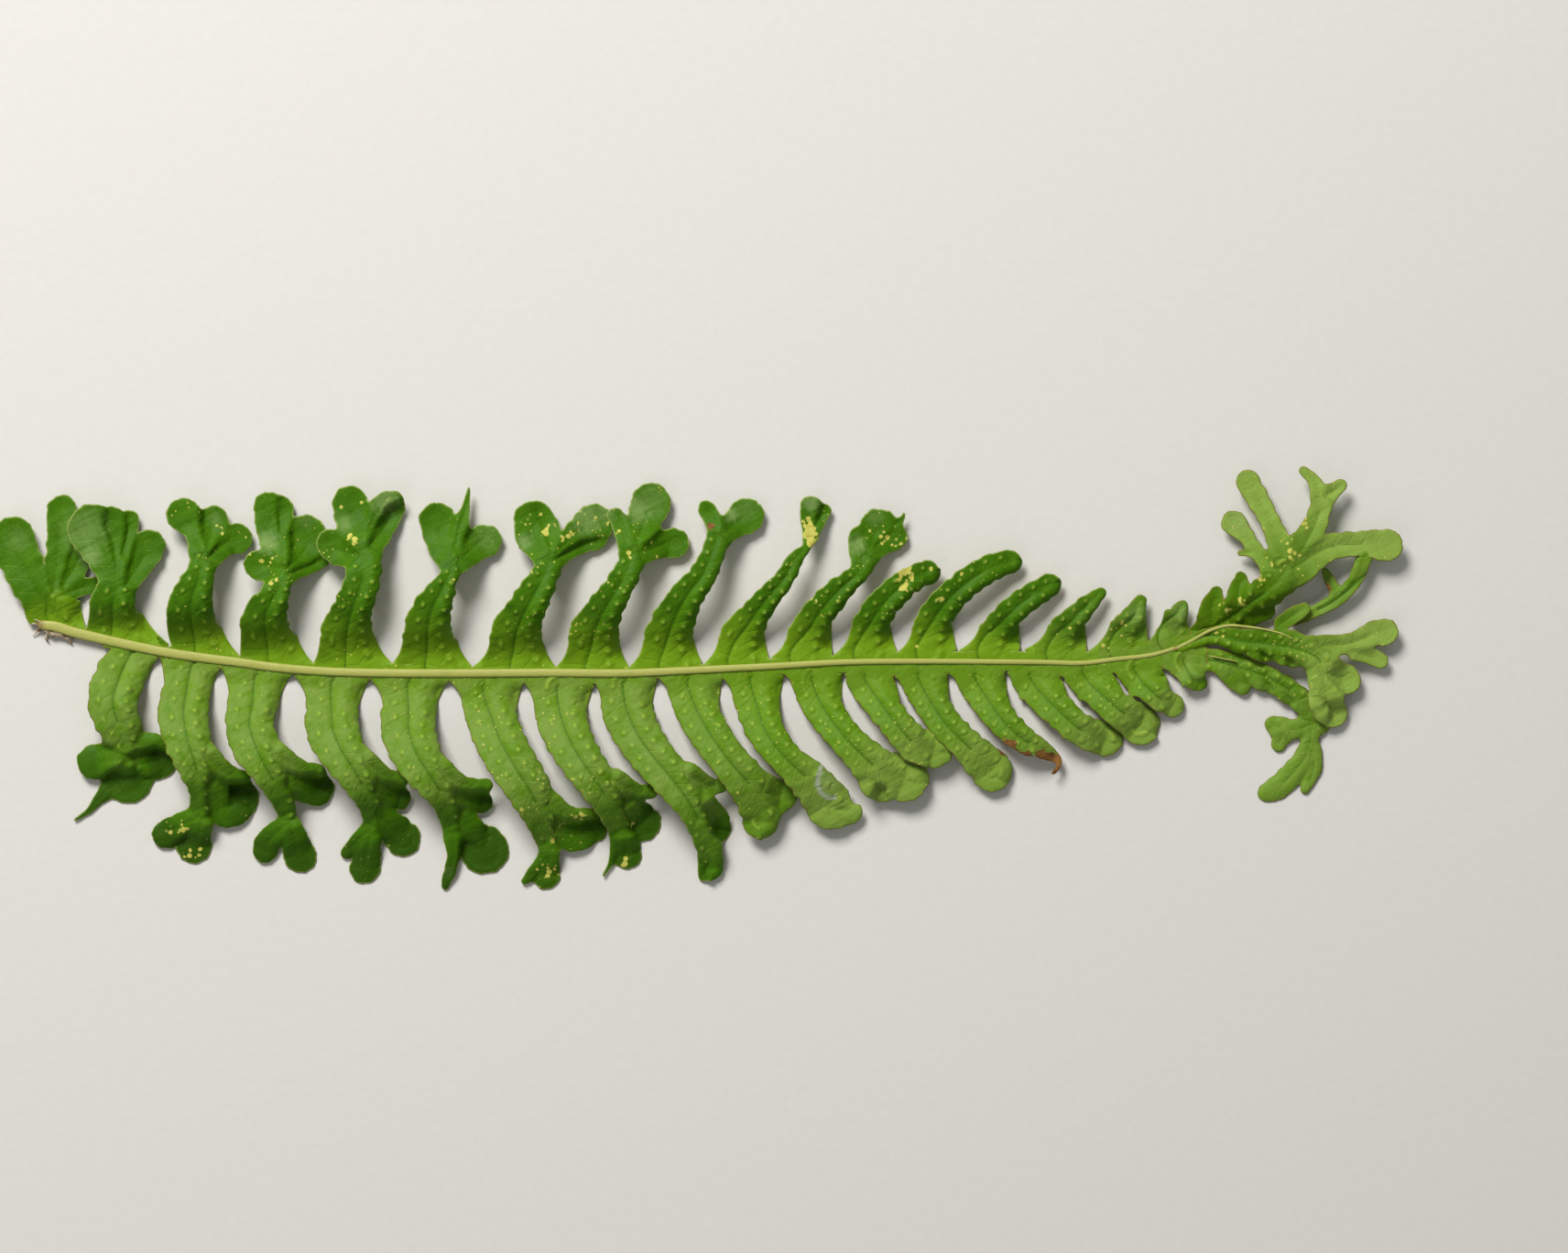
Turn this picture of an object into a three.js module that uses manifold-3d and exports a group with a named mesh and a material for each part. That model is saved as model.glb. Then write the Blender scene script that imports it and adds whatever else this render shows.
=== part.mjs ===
// A crested common polypody frond, as picked, lying upper side up. Millimetres, +Z up, +X from the
// broken base of the midrib to the crested tip. The blade, its lobes and the midrib grew as one leaf,
// so they are one solid.
import * as THREE from 'three';
import { mergeVertices } from 'three/addons/utils/BufferGeometryUtils.js';
import Module from 'manifold-3d';

const wasm = await Module();
wasm.setup();

// Driving dimensions, in millimetres.
const BLADE_THICKNESS = 0.7;
const ROOT_HEIGHT = 1.1;        // middle of the blade where it leaves the midrib
const PEAK_AT = 0.62;           // share of a lobe's length where its arch is highest
const MARGIN_DROP = 0.2;        // fall of the margin below the lobe's axis, per unit of half width
const AXIS_DEPTH = 0.25;        // sink of the lobe's vein below the blade beside it
const AXIS_HALF_WIDTH = 0.6;
const OUTLINE_TOLERANCE = 0.24; // how far a straight side of the outline may miss the curve
const BLEND = 0.42;             // how softly the strokes of one lobe flow together
const TRACE_STEP = 0.5;         // lattice on which a lobe's outline is found
const INNER_SPACING = 2.7;      // between the points inside an outline that carry its arch
const INNER_CLEAR = 0.75;       // and from them to the outline
const FLANK_SHARE = 0.58;       // share of the half width at which the points beside the axis lie
const SLOPE_STEP = 0.3;         // over which a blade's slope is measured

// The frond is drawn on a sheet ruled in sixths of a millimetre, x to the right and y down the sheet.
// DATUM is the place on the sheet over which the part's origin stands.
const RULE = 1 / 6;
const DATUM = [761, 741];

// The midrib: places along its middle on the sheet, and half its width there in millimetres.
const MIDRIB = [
  [42, 682, 0.75], [60, 684, 0.9], [80, 690, 0.9], [100, 695, 0.88], [140, 704, 0.86], [180, 712, 0.85],
  [220, 718, 0.82], [260, 723, 0.8], [300, 728.5, 0.78], [340, 732, 0.76], [380, 734, 0.75],
  [440, 735, 0.75], [520, 735, 0.75], [600, 734.5, 0.74], [680, 735, 0.72], [760, 731.5, 0.66],
  [840, 727.5, 0.6], [920, 723, 0.54], [1000, 722, 0.5], [1080, 722.5, 0.48], [1140, 723, 0.46],
  [1180, 724, 0.45], [1220, 719.5, 0.42], [1260, 714.5, 0.4], [1300, 702, 0.34], [1330, 692, 0.3],
];
const WEB_THICKNESS = 0.84;     // the flat strip of blade that runs along the midrib
const LIFT_OFF = 3;             // over which a lobe leaves the height of the web
const KEEL_SHARE = 0.6;         // share of the midrib's width that is flat underneath
const RIDGE_SHARE = 0.45;       // and flat on top
const MIDRIB_HEIGHT = 1.9;
const CHEEK_LOW = 0.5;          // the midrib's sides stand between these two heights
const CHEEK_HIGH = 1.45;

// Each lobe: peak is the height of its arch and end the height where its crest begins. spine and every
// finger of the crest list [x, y, half width] on the sheet, and tip is the height at a finger's end.
const UPPER_LOBES = [
  { peak: 3.6, end: 3.4, spine: [[66, 684, 26], [55, 668, 27], [50, 655, 20]],
    crest: [
      { tip: 1.4, at: [[48, 660, 20], [32, 633, 22], [19, 603, 24], [15, 588, 24]] },
      { tip: 0.8, at: [[58, 650, 12], [63, 610, 13], [66, 575, 15], [67, 556, 16]] },
      { tip: 0.5, at: [[62, 652, 8], [85, 641, 9], [107, 636, 9]] },
      { tip: 0.5, at: [[70, 635, 10], [84, 605, 10]] },
    ] },
  { peak: 5.8, end: 5.6, spine: [[136, 700, 32], [124, 672, 27], [124, 655, 25], [130, 638, 17]],
    crest: [
      { tip: 3, at: [[126, 632, 16], [113, 603, 22], [100, 578, 27]] },
      { tip: 2.2, at: [[128, 625, 14], [124, 585, 20], [122, 574, 21]] },
      { tip: 1.6, at: [[134, 600, 10], [142, 566, 9]] },
      { tip: 1.2, at: [[136, 640, 12], [152, 617, 14], [163, 596, 18]] },
    ] },
  { peak: 7, end: 5.6,
    spine: [[228, 716, 32], [211, 685, 27], [208, 662, 26], [214, 640, 22], [220, 618, 16], [224, 605, 16]],
    crest: [
      { tip: 2, at: [[222, 602, 15], [211, 580, 13], [200, 562, 19]] },
      { tip: 1.4, at: [[226, 600, 15], [232, 575, 17], [233, 568, 17]] },
      { tip: 1.2, at: [[226, 610, 13], [246, 592, 15], [258, 588, 17]] },
    ] },
  { peak: 7.2, end: 5.8,
    spine: [[308, 722, 32], [291, 692, 27], [290, 672, 24], [300, 650, 17], [309, 630, 12], [311, 618, 14]],
    crest: [
      { tip: 3.6, at: [[308, 620, 14], [292, 618, 18], [281, 616, 16]] },
      { tip: 1.2, at: [[308, 612, 14], [298, 580, 19], [298, 554, 20]] },
      { tip: 0.6, at: [[314, 620, 12], [333, 598, 20], [335, 583, 24]] },
    ] },
  { peak: 7.6, end: 5.4,
    spine: [[392, 727, 34], [381, 697, 29], [384, 668, 22], [395, 640, 20], [399, 618, 19], [396, 600, 20]],
    crest: [
      { tip: 3.4, at: [[390, 606, 16], [368, 600, 18], [361, 593, 17]] },
      { tip: 1.6, at: [[394, 590, 18], [385, 562, 20], [383, 549, 21]] },
      { tip: 2, at: [[404, 594, 14], [417, 572, 16], [428, 552, 16]] },
    ] },
  { peak: 7.4, end: 5.8,
    spine: [[480, 728, 34], [468, 693, 25], [471, 668, 22], [482, 645, 16], [492, 628, 11], [495, 612, 12]],
    crest: [
      { tip: 1.8, at: [[493, 610, 13], [483, 583, 20], [482, 568, 20]] },
      { tip: 4.6, at: [[482, 604, 10], [476, 602, 6]] },
      { tip: 1.6, at: [[504, 575, 9], [509, 552, 4], [512, 533, 1.5]] },
      { tip: 1.2, at: [[502, 612, 13], [522, 594, 18], [533, 591, 18]] },
    ] },
  { peak: 7.6, end: 5.4,
    spine: [[572, 730, 34], [565, 696, 27], [573, 671, 22], [584, 648, 20], [597, 626, 17], [600, 610, 17]],
    crest: [
      { tip: 2, at: [[597, 603, 16], [584, 584, 19], [583, 566, 19]] },
      { tip: 0.8, at: [[606, 606, 12], [632, 587, 17], [650, 575, 24]] },
    ] },
  { peak: 7.4, end: 5.4,
    spine: [[654, 730, 32], [648, 698, 26], [656, 674, 21], [671, 648, 18], [686, 624, 16], [692, 604, 14]],
    crest: [
      { tip: 3.4, at: [[686, 592, 12], [676, 570, 10], [672, 562, 9]] },
      { tip: 1.4, at: [[697, 588, 15], [707, 556, 23], [709, 550, 23]] },
      { tip: 1.2, at: [[702, 602, 13], [725, 594, 16], [735, 593, 18]] },
    ] },
  { peak: 7, end: 4.4,
    spine: [
      [735, 728, 34], [728, 697, 25], [738, 671, 21], [750, 648, 19], [767, 627, 16], [779, 603, 14],
      [784, 588, 13],
    ],
    crest: [
      { tip: 2.4, at: [[784, 578, 10], [774, 558, 10], [772, 555, 10]] },
      { tip: 1.2, at: [[790, 582, 12], [808, 567, 18], [813, 563, 20]] },
    ] },
  { peak: 6.6, end: 3.2,
    spine: [
      [808, 722, 28], [806, 697, 21], [820, 673, 16], [838, 651, 13.5], [855, 631, 11], [868, 611, 9],
      [880, 598, 5], [885, 586, 7],
    ],
    crest: [
      { tip: 1.8, at: [[885, 586, 7], [884, 568, 10], [886, 553, 12]] },
      { tip: 1.4, at: [[890, 575, 8], [901, 558, 7]] },
    ] },
  { peak: 6, end: 3.8,
    spine: [[876, 718, 30], [880, 693, 21], [893, 670, 18], [909, 651, 16], [926, 638, 13], [940, 623, 13],
      [946, 606, 15]],
    crest: [
      { tip: 1.4, at: [[948, 600, 16], [959, 575, 22]] },
      { tip: 2.2, at: [[940, 610, 12], [934, 592, 9], [935, 585, 9]] },
      { tip: 1.2, at: [[960, 590, 16], [977, 586, 16]] },
      { tip: 2, at: [[978, 572, 5], [985, 566, 2.5], [987, 561, 1.5]] },
    ] },
  { peak: 5, end: 2.6,
    spine: [[948, 714, 28], [949, 687, 20], [962, 663, 18], [982, 642, 16], [1003, 629, 14], [1014, 625, 14]] },
  { peak: 4.8, end: 2.4,
    spine: [[1016, 712, 28], [1017, 684, 20], [1032, 659, 18], [1055, 637, 16], [1080, 621, 15.5],
      [1103, 613, 14]] },
  { peak: 4.2, end: 2.2,
    spine: [[1083, 712, 26], [1086, 693, 18], [1100, 673, 16], [1120, 655, 14.5], [1146, 640, 13.5]] },
  { peak: 3.6, end: 2.2,
    spine: [[1158, 714, 26], [1160, 693, 18], [1173, 675, 14], [1187, 661, 11], [1201, 649, 7]] },
  { peak: 3, end: 2.2, spine: [[1226, 708, 24], [1228, 690, 17], [1238, 673, 13], [1245, 658, 8]] },
  { peak: 2.8, end: 2.3, spine: [[1280, 697, 20], [1284, 681, 14], [1288, 668, 10], [1290, 663, 8]] },
];

const LOWER_LOBES = [
  { peak: 5.6, end: 4, spine: [[146, 716, 24], [130, 742, 28], [123, 768, 27], [130, 792, 24], [138, 812, 20]],
    crest: [
      { tip: 1.8, at: [[130, 832, 20], [103, 833, 20]] },
      { tip: 0.8, at: [[140, 835, 24], [140, 852, 26]] },
      { tip: 0.5, at: [[118, 862, 10], [107, 873, 6], [95, 886, 4], [82, 895, 1.5]] },
      { tip: 0.5, at: [[150, 825, 24], [175, 823, 22]] },
    ] },
  { peak: 7.4, end: 3.6,
    spine: [
      [213, 728, 24], [205, 752, 26], [200, 780, 28], [205, 810, 25], [213, 835, 20], [219, 862, 14],
      [219, 885, 13],
    ],
    crest: [
      { tip: 1, at: [[214, 895, 12], [195, 904, 15], [182, 910, 17]] },
      { tip: 0.5, at: [[219, 900, 13], [213, 925, 19]] },
      { tip: 0.5, at: [[228, 855, 20], [243, 878, 26], [262, 872, 22]] },
    ] },
  { peak: 7.8, end: 3.2,
    spine: [
      [282, 740, 28], [277, 765, 28], [272, 790, 26], [279, 815, 27], [290, 838, 21], [304, 862, 17],
      [314, 888, 11],
    ],
    crest: [
      { tip: 1, at: [[310, 902, 12], [295, 918, 14], [289, 928, 15]] },
      { tip: 0.5, at: [[318, 905, 14], [328, 934, 19]] },
      { tip: 0.5, at: [[310, 845, 16], [335, 852, 20], [345, 860, 20]] },
    ] },
  { peak: 8, end: 3,
    spine: [
      [366, 746, 30], [363, 770, 29], [363, 795, 29], [373, 820, 26], [389, 845, 23], [403, 872, 18],
      [411, 895, 13],
    ],
    crest: [
      { tip: 0.8, at: [[408, 905, 10], [392, 918, 8], [380, 930, 8]] },
      { tip: 0.5, at: [[405, 912, 13], [399, 948, 18]] },
      { tip: 1.6, at: [[408, 850, 14], [428, 860, 18]] },
      { tip: 0.5, at: [[415, 890, 14], [438, 915, 21]] },
    ] },
  { peak: 8, end: 2.8,
    spine: [
      [449, 748, 30], [447, 772, 30], [446, 797, 30], [454, 822, 28], [470, 848, 24], [486, 873, 19],
      [494, 900, 13],
    ],
    crest: [
      { tip: 0.5, at: [[495, 915, 11], [494, 935, 7], [489, 955, 8], [485, 967, 5]] },
      { tip: 1.6, at: [[490, 858, 16], [520, 862, 16]] },
      { tip: 0.5, at: [[505, 895, 16], [527, 930, 28]] },
    ] },
  { peak: 8, end: 2.8,
    spine: [
      [531, 752, 28], [535, 777, 28], [545, 806, 27], [560, 834, 26], [578, 863, 25], [593, 892, 21],
      [600, 918, 14],
    ],
    crest: [
      { tip: 0.5, at: [[601, 930, 11], [597, 957, 16]] },
      { tip: 0.8, at: [[592, 942, 8], [577, 957, 7]] },
      { tip: 0.6, at: [[610, 898, 18], [640, 902, 20]] },
    ] },
  { peak: 7.8, end: 2.6,
    spine: [
      [612, 752, 28], [612, 777, 28], [619, 802, 26], [633, 828, 24], [651, 852, 22], [668, 880, 20],
      [680, 905, 15],
    ],
    crest: [
      { tip: 0.5, at: [[683, 915, 16], [686, 934, 16]] },
      { tip: 0.6, at: [[674, 925, 7], [668, 940, 3.5], [658, 956, 1.5]] },
      { tip: 0.6, at: [[690, 872, 18], [706, 898, 20]] },
    ] },
  { peak: 7.4, end: 0.9,
    spine: [
      [684, 748, 28], [685, 775, 28], [696, 802, 26], [713, 826, 24], [733, 850, 23], [752, 876, 19],
      [767, 903, 16], [776, 930, 14], [777, 948, 13],
    ],
    crest: [{ tip: 0.6, at: [[775, 868, 14], [785, 895, 15], [786, 905, 14]] }] },
  { peak: 6.8, end: 1,
    spine: [
      [754, 745, 27], [761, 775, 24], [776, 803, 22], [797, 832, 21], [820, 858, 24], [830, 885, 22],
      [831, 896, 21],
    ],
    crest: [{ tip: 0.7, at: [[835, 865, 20], [852, 868, 19]] }] },
  { peak: 6.4, end: 1.4,
    spine: [[823, 742, 27], [827, 770, 24], [836, 799, 21], [858, 828, 18], [885, 853, 22], [905, 878, 25]],
    crest: [{ tip: 0.8, at: [[908, 882, 23], [928, 886, 14]] }],
    bite: [940, 866, 13] },
  { peak: 5.8, end: 1.2,
    spine: [[890, 742, 27], [897, 768, 22], [914, 795, 19], [937, 820, 20], [962, 842, 24], [988, 850, 26]],
    crest: [{ tip: 0.8, at: [[955, 855, 17], [962, 862, 14]] }] },
  { peak: 5.4, end: 3.2,
    spine: [[948, 740, 24], [962, 768, 19], [981, 793, 18], [1000, 813, 20], [1020, 818, 21]] },
  { peak: 4.2, end: 0.9,
    spine: [[1006, 738, 25], [1016, 765, 20], [1032, 790, 18], [1056, 814, 18], [1083, 841, 23]] },
  { peak: 4.4, end: 2,
    spine: [
      [1068, 738, 25], [1079, 763, 20], [1095, 787, 17], [1118, 808, 14.5], [1138, 818, 10], [1150, 826, 5],
    ],
    crest: [{ tip: 2.2, at: [[1148, 824, 4], [1156, 830, 3], [1155, 838, 2.5], [1150, 844, 2]] }] },
  { peak: 4.2, end: 1.2,
    spine: [[1128, 738, 25], [1141, 760, 20], [1161, 781, 18], [1184, 799, 18], [1207, 807, 19]] },
  { peak: 3.6, end: 1.2, spine: [[1186, 734, 25], [1200, 755, 19], [1222, 775, 19], [1245, 791, 22]] },
  { peak: 3, end: 1.4, spine: [[1242, 730, 24], [1251, 747, 16], [1266, 762, 14], [1280, 770, 13]] },
  { peak: 2.6, end: 1.8, spine: [[1296, 722, 22], [1302, 738, 14], [1309, 746, 9]] },
];

// Places where neighbouring lobes part, in order from the base. The web's edges run through them, from
// the first point, where the web starts, to the last, where it ends.
const UPPER_NOTCHES = [
  [46, 680],
  [94, 685], [188, 705], [262, 715], [342, 723], [428, 723], [516, 727], [607, 727], [687, 727],
  [768, 724], [840, 718], [909, 715], [980, 711], [1045, 710], [1114, 710], [1187, 711], [1254, 699],
  [1300, 688],
];
const LOWER_NOTCHES = [
  [112, 709],
  [174, 720], [241, 732], [319, 739], [404, 744], [490, 746], [572, 748], [650, 749], [719, 743],
  [789, 743], [857, 739], [920, 737], [975, 740], [1035, 737], [1097, 735], [1156, 739], [1213, 735],
  [1268, 731], [1318, 726],
];

// The tip of the frond forks in three. Each branch is drawn as a lobe, with its teeth as fingers.
const TIP_BRANCHES = [
  { root: 1.3, peak: 5, end: 4.8,
    spine: [[1290, 702, 9], [1330, 682, 14], [1362, 660, 16], [1388, 642, 18], [1405, 622, 22]],
    crest: [
      { tip: 2.4, at: [[1324, 680, 18], [1323, 664, 13], [1328, 647, 7]] },
      { tip: 3, at: [[1352, 660, 14], [1353, 643, 11], [1355, 631, 7]] },
      { tip: 2.6, at: [[1365, 672, 12], [1384, 668, 8]] },
      { tip: 2, at: [[1392, 622, 14], [1374, 604, 8], [1360, 585, 9], [1347, 571, 14]] },
      { tip: 2, at: [[1366, 603, 4], [1354, 604, 3]] },
      { tip: 2.4, at: [[1402, 605, 15], [1388, 572, 11], [1374, 546, 12], [1362, 526, 13]] },
      { tip: 3.6, at: [[1422, 600, 18], [1437, 570, 13], [1444, 546, 12]] },
      { tip: 3.2, at: [[1441, 540, 9], [1434, 524, 7], [1423, 514, 5]] },
      { tip: 3, at: [[1450, 540, 10], [1464, 530, 7]] },
      { tip: 3, at: [[1415, 618, 22], [1450, 598, 15], [1485, 594, 14], [1514, 595, 18]] },
    ] },
  { root: 1.3, peak: 4.6, end: 3,
    spine: [
      [1290, 706, 8], [1325, 694, 10], [1355, 700, 14], [1385, 703, 16], [1415, 708, 18], [1440, 720, 18],
      [1447, 750, 18], [1450, 775, 16],
    ],
    crest: [
      { tip: 2.4, at: [[1375, 712, 10], [1382, 716, 6]] },
      { tip: 2.4, at: [[1403, 718, 9], [1412, 723, 5]] },
      { tip: 3, at: [[1400, 680, 9], [1415, 670, 9], [1424, 665, 7]] },
      { tip: 2.2, at: [[1445, 705, 12], [1475, 702, 11], [1500, 692, 14], [1512, 690, 15]] },
      { tip: 1.8, at: [[1480, 712, 9], [1500, 718, 9], [1507, 721, 9]] },
      { tip: 2, at: [[1450, 735, 18], [1470, 742, 16]] },
      { tip: 1, at: [[1447, 765, 18], [1457, 780, 14]] },
    ] },
  { root: 1, peak: 2, end: 1.2,
    spine: [
      [1290, 716, 12], [1330, 722, 13], [1370, 734, 12], [1400, 748, 12], [1425, 768, 13], [1437, 785, 14],
    ],
    crest: [
      { tip: 1.2, at: [[1345, 730, 17], [1351, 743, 12], [1357, 751, 8]] },
      { tip: 1, at: [[1378, 742, 12], [1388, 750, 7]] },
      { tip: 0.8, at: [[1403, 757, 9], [1412, 765, 6]] },
      { tip: 1, at: [[1440, 788, 13], [1415, 796, 11], [1400, 797, 13]] },
      { tip: 0.8, at: [[1398, 793, 9], [1389, 790, 8]] },
      { tip: 0.6, at: [[1400, 803, 9], [1396, 813, 8]] },
      { tip: 0.5, at: [[1432, 795, 10], [1430, 810, 9], [1424, 828, 12], [1408, 848, 13], [1393, 861, 13],
        [1383, 865, 10]] },
      { tip: 0.5, at: [[1432, 820, 11], [1434, 840, 9], [1425, 862, 5]] },
    ] },
  { root: 3.2, peak: 2.4, end: 1.2,
    spine: [[1490, 608, 9], [1478, 636, 8], [1458, 655, 8], [1436, 667, 7], [1415, 676, 7]],
    crest: [{ tip: 1.4, at: [[1460, 648, 6], [1452, 634, 6], [1447, 624, 4]] }] },
];

const place = ([x, y]) => [(x - DATUM[0]) * RULE, (DATUM[1] - y) * RULE];

// A polyline of [x, y, half width] in millimetres, with a height at each point.
function stroke(points, heightAt) {
  const nodes = points.map(([x, y, r]) => ({ p: new THREE.Vector2(...place([x, y])), r: r * RULE }));
  let run = 0;
  nodes.forEach((node, i) => {
    run += i ? node.p.distanceTo(nodes[i - 1].p) : 0;
    node.run = run;
  });
  nodes.forEach((node) => {
    node.z = heightAt(node.run / run);
  });
  return nodes;
}

// What one stretch of a stroke says of the point (x, y): the distance outside its edge, the height of
// its axis there and how far across it the point lies.
function reach(a, b, x, y) {
  const dx = b.p.x - a.p.x;
  const dy = b.p.y - a.p.y;
  const along = ((x - a.p.x) * dx + (y - a.p.y) * dy) / (dx * dx + dy * dy);
  const t = THREE.MathUtils.clamp(along, 0, 1);
  const off = Math.hypot(x - a.p.x - dx * t, y - a.p.y - dy * t);
  const r = THREE.MathUtils.lerp(a.r, b.r, t);
  return { edge: off - r, axis: THREE.MathUtils.lerp(a.z, b.z, t), off, r };
}

// The strokes' edge distance and height at (x, y), flowing together over BLEND.
function survey(strokes, x, y) {
  let weight = 0;
  let height = 0;
  for (const nodes of strokes) {
    for (let i = 1; i < nodes.length; i += 1) {
      const { edge, axis, off, r } = reach(nodes[i - 1], nodes[i], x, y);
      const w = Math.exp(-edge / BLEND);
      const across = Math.min(off / r, 1.2);
      const groove = AXIS_DEPTH * Math.exp(-((off / AXIS_HALF_WIDTH) ** 2));
      height += w * (axis - MARGIN_DROP * r * across * across - groove);
      weight += w;
    }
  }
  return { edge: -BLEND * Math.log(weight), z: Math.max(height / weight, BLADE_THICKNESS / 2) };
}

const arch = (root, peak, end) => (u) => (u < PEAK_AT
  ? root + (peak - root) * Math.sin((Math.PI / 2) * (u / PEAK_AT))
  : peak + (end - peak) * (1 - Math.cos((Math.PI / 2) * ((u - PEAK_AT) / (1 - PEAK_AT)))));

function lobeStrokes({ root = ROOT_HEIGHT, peak, end, spine, crest = [] }) {
  const strokes = [stroke(spine, arch(root, peak, end))];
  for (const { tip, at } of crest) {
    const from = survey(strokes, ...place(at[0])).z;
    strokes.push(stroke(at, (u) => from + (tip - from) * Math.sin((Math.PI / 2) * u)));
  }
  return strokes;
}

const midrib = MIDRIB.map(([x, y, r]) => [...place([x, y]), r]);
const upperWeb = UPPER_NOTCHES.map(place);
const lowerWeb = LOWER_NOTCHES.map(place);

// The y of a line of points at x, on its nearest stretch.
function lineY(line, x) {
  const later = line.findIndex((p) => p[0] > x);
  const i = later < 0 ? line.length - 1 : Math.max(1, later);
  const [x0, y0] = line[i - 1];
  const [x1, y1] = line[i];
  return y0 + (y1 - y0) * THREE.MathUtils.clamp((x - x0) / (x1 - x0), 0, 1);
}

// A lobe's outline as a distance: its strokes, kept to its own side of the midrib and of the notches.
function lobeEdge(strokes, side, before, after, bite) {
  return (x, y) => {
    let edge = Math.max(survey(strokes, x, y).edge, side * (lineY(midrib, x) - y));
    for (const [notch, way] of [[before, -1], [after, 1]]) {
      edge = Math.max(edge, Math.min(way * (x - notch[0]), side * (notch[1] - y)));
    }
    if (bite) {
      const [bx, by] = place(bite);
      edge = Math.max(edge, bite[2] * RULE - Math.hypot(x - bx, y - by));
    }
    return edge;
  };
}

// The longest closed line along which edgeAt is zero, found on a square lattice.
function traceOutline(edgeAt, box, step = TRACE_STEP) {
  const columns = Math.ceil((box.max.x - box.min.x) / step) + 1;
  const rows = Math.ceil((box.max.y - box.min.y) / step) + 1;
  const at = (i, j) => [box.min.x + i * step, box.min.y + j * step];
  const value = Array.from({ length: rows }, (_, j) => Array.from({ length: columns },
    (_, i) => edgeAt(...at(i, j)) || 1e-9));
  const crossing = (i, j, k, l) => {
    const t = value[j][i] / (value[j][i] - value[l][k]);
    const [x0, y0] = at(i, j);
    const [x1, y1] = at(k, l);
    return new THREE.Vector2(x0 + (x1 - x0) * t, y0 + (y1 - y0) * t);
  };
  const next = new Map();
  const corners = [[0, 0], [1, 0], [1, 1], [0, 1]];
  for (let j = 0; j < rows - 1; j += 1) {
    for (let i = 0; i < columns - 1; i += 1) {
      const inside = corners.map(([a, b]) => value[j + b][i + a] < 0);
      const leaves = [];
      const enters = [];
      corners.forEach(([a, b], c) => {
        const [k, l] = corners[(c + 1) % 4];
        if (inside[c] === inside[(c + 1) % 4]) return;
        const ends = [[i + a, j + b], [i + k, j + l]].sort((p, q) => p[0] - q[0] || p[1] - q[1]);
        const cut = { key: ends.join(), p: crossing(...ends[0], ...ends[1]) };
        (inside[c] ? leaves : enters).push(cut);
      });
      leaves.forEach((cut, n) => next.set(cut.key, { p: cut.p, to: enters[n].key }));
    }
  }
  let longest = [];
  const seen = new Set();
  for (const first of next.keys()) {
    const loop = [];
    for (let key = first; next.has(key) && !seen.has(key); key = next.get(key).to) {
      seen.add(key);
      loop.push(next.get(key).p);
    }
    longest = loop.length > longest.length ? loop : longest;
  }
  return longest;
}

// Leaves out the points that lie within tolerance of the straight side between those kept.
function simplify(points, tolerance) {
  const last = points.length - 1;
  const side = new THREE.Line3(new THREE.Vector3(points[0].x, points[0].y),
    new THREE.Vector3(points[last].x, points[last].y));
  let worst = 0;
  let at = 0;
  const foot = new THREE.Vector3();
  for (let i = 1; i < last; i += 1) {
    const p = new THREE.Vector3(points[i].x, points[i].y);
    const miss = side.closestPointToPoint(p, true, foot).distanceTo(p);
    if (miss > worst) [worst, at] = [miss, i];
  }
  if (worst <= tolerance) return [points[0], points[last]];
  const before = simplify(points.slice(0, at + 1), tolerance);
  return [...before.slice(0, -1), ...simplify(points.slice(at), tolerance)];
}

function simplifyLoop(loop, tolerance) {
  const half = Math.floor(loop.length / 2);
  const first = simplify(loop.slice(0, half + 1), tolerance);
  const second = simplify([...loop.slice(half), loop[0]], tolerance);
  return [...first.slice(0, -1), ...second.slice(0, -1)];
}

// Points inside the outline that carry the arch: along each stroke's axis and half way to its edges.
function innerPoints(strokes, edgeAt) {
  const found = [];
  const room = INNER_SPACING * 0.62;
  const keep = (p) => {
    const near = found.some((q) => q.distanceTo(p) < room);
    if (edgeAt(p.x, p.y) < -INNER_CLEAR && !near) found.push(p);
  };
  for (const share of [0, -FLANK_SHARE, FLANK_SHARE]) {
    for (const nodes of strokes) {
      for (let i = 1; i < nodes.length; i += 1) {
        const [a, b] = [nodes[i - 1], nodes[i]];
        const run = b.run - a.run;
        const steps = Math.max(1, Math.round(run / INNER_SPACING));
        const normal = new THREE.Vector2(a.p.y - b.p.y, b.p.x - a.p.x).divideScalar(run);
        for (let n = 0; n <= steps; n += 1) {
          const t = n / steps;
          const off = share * THREE.MathUtils.lerp(a.r, b.r, t);
          keep(a.p.clone().lerp(b.p, t).addScaledVector(normal, off));
        }
      }
    }
  }
  return found;
}

const turns = (p, q, r) => q.clone().sub(p).cross(r.clone().sub(p));

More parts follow.
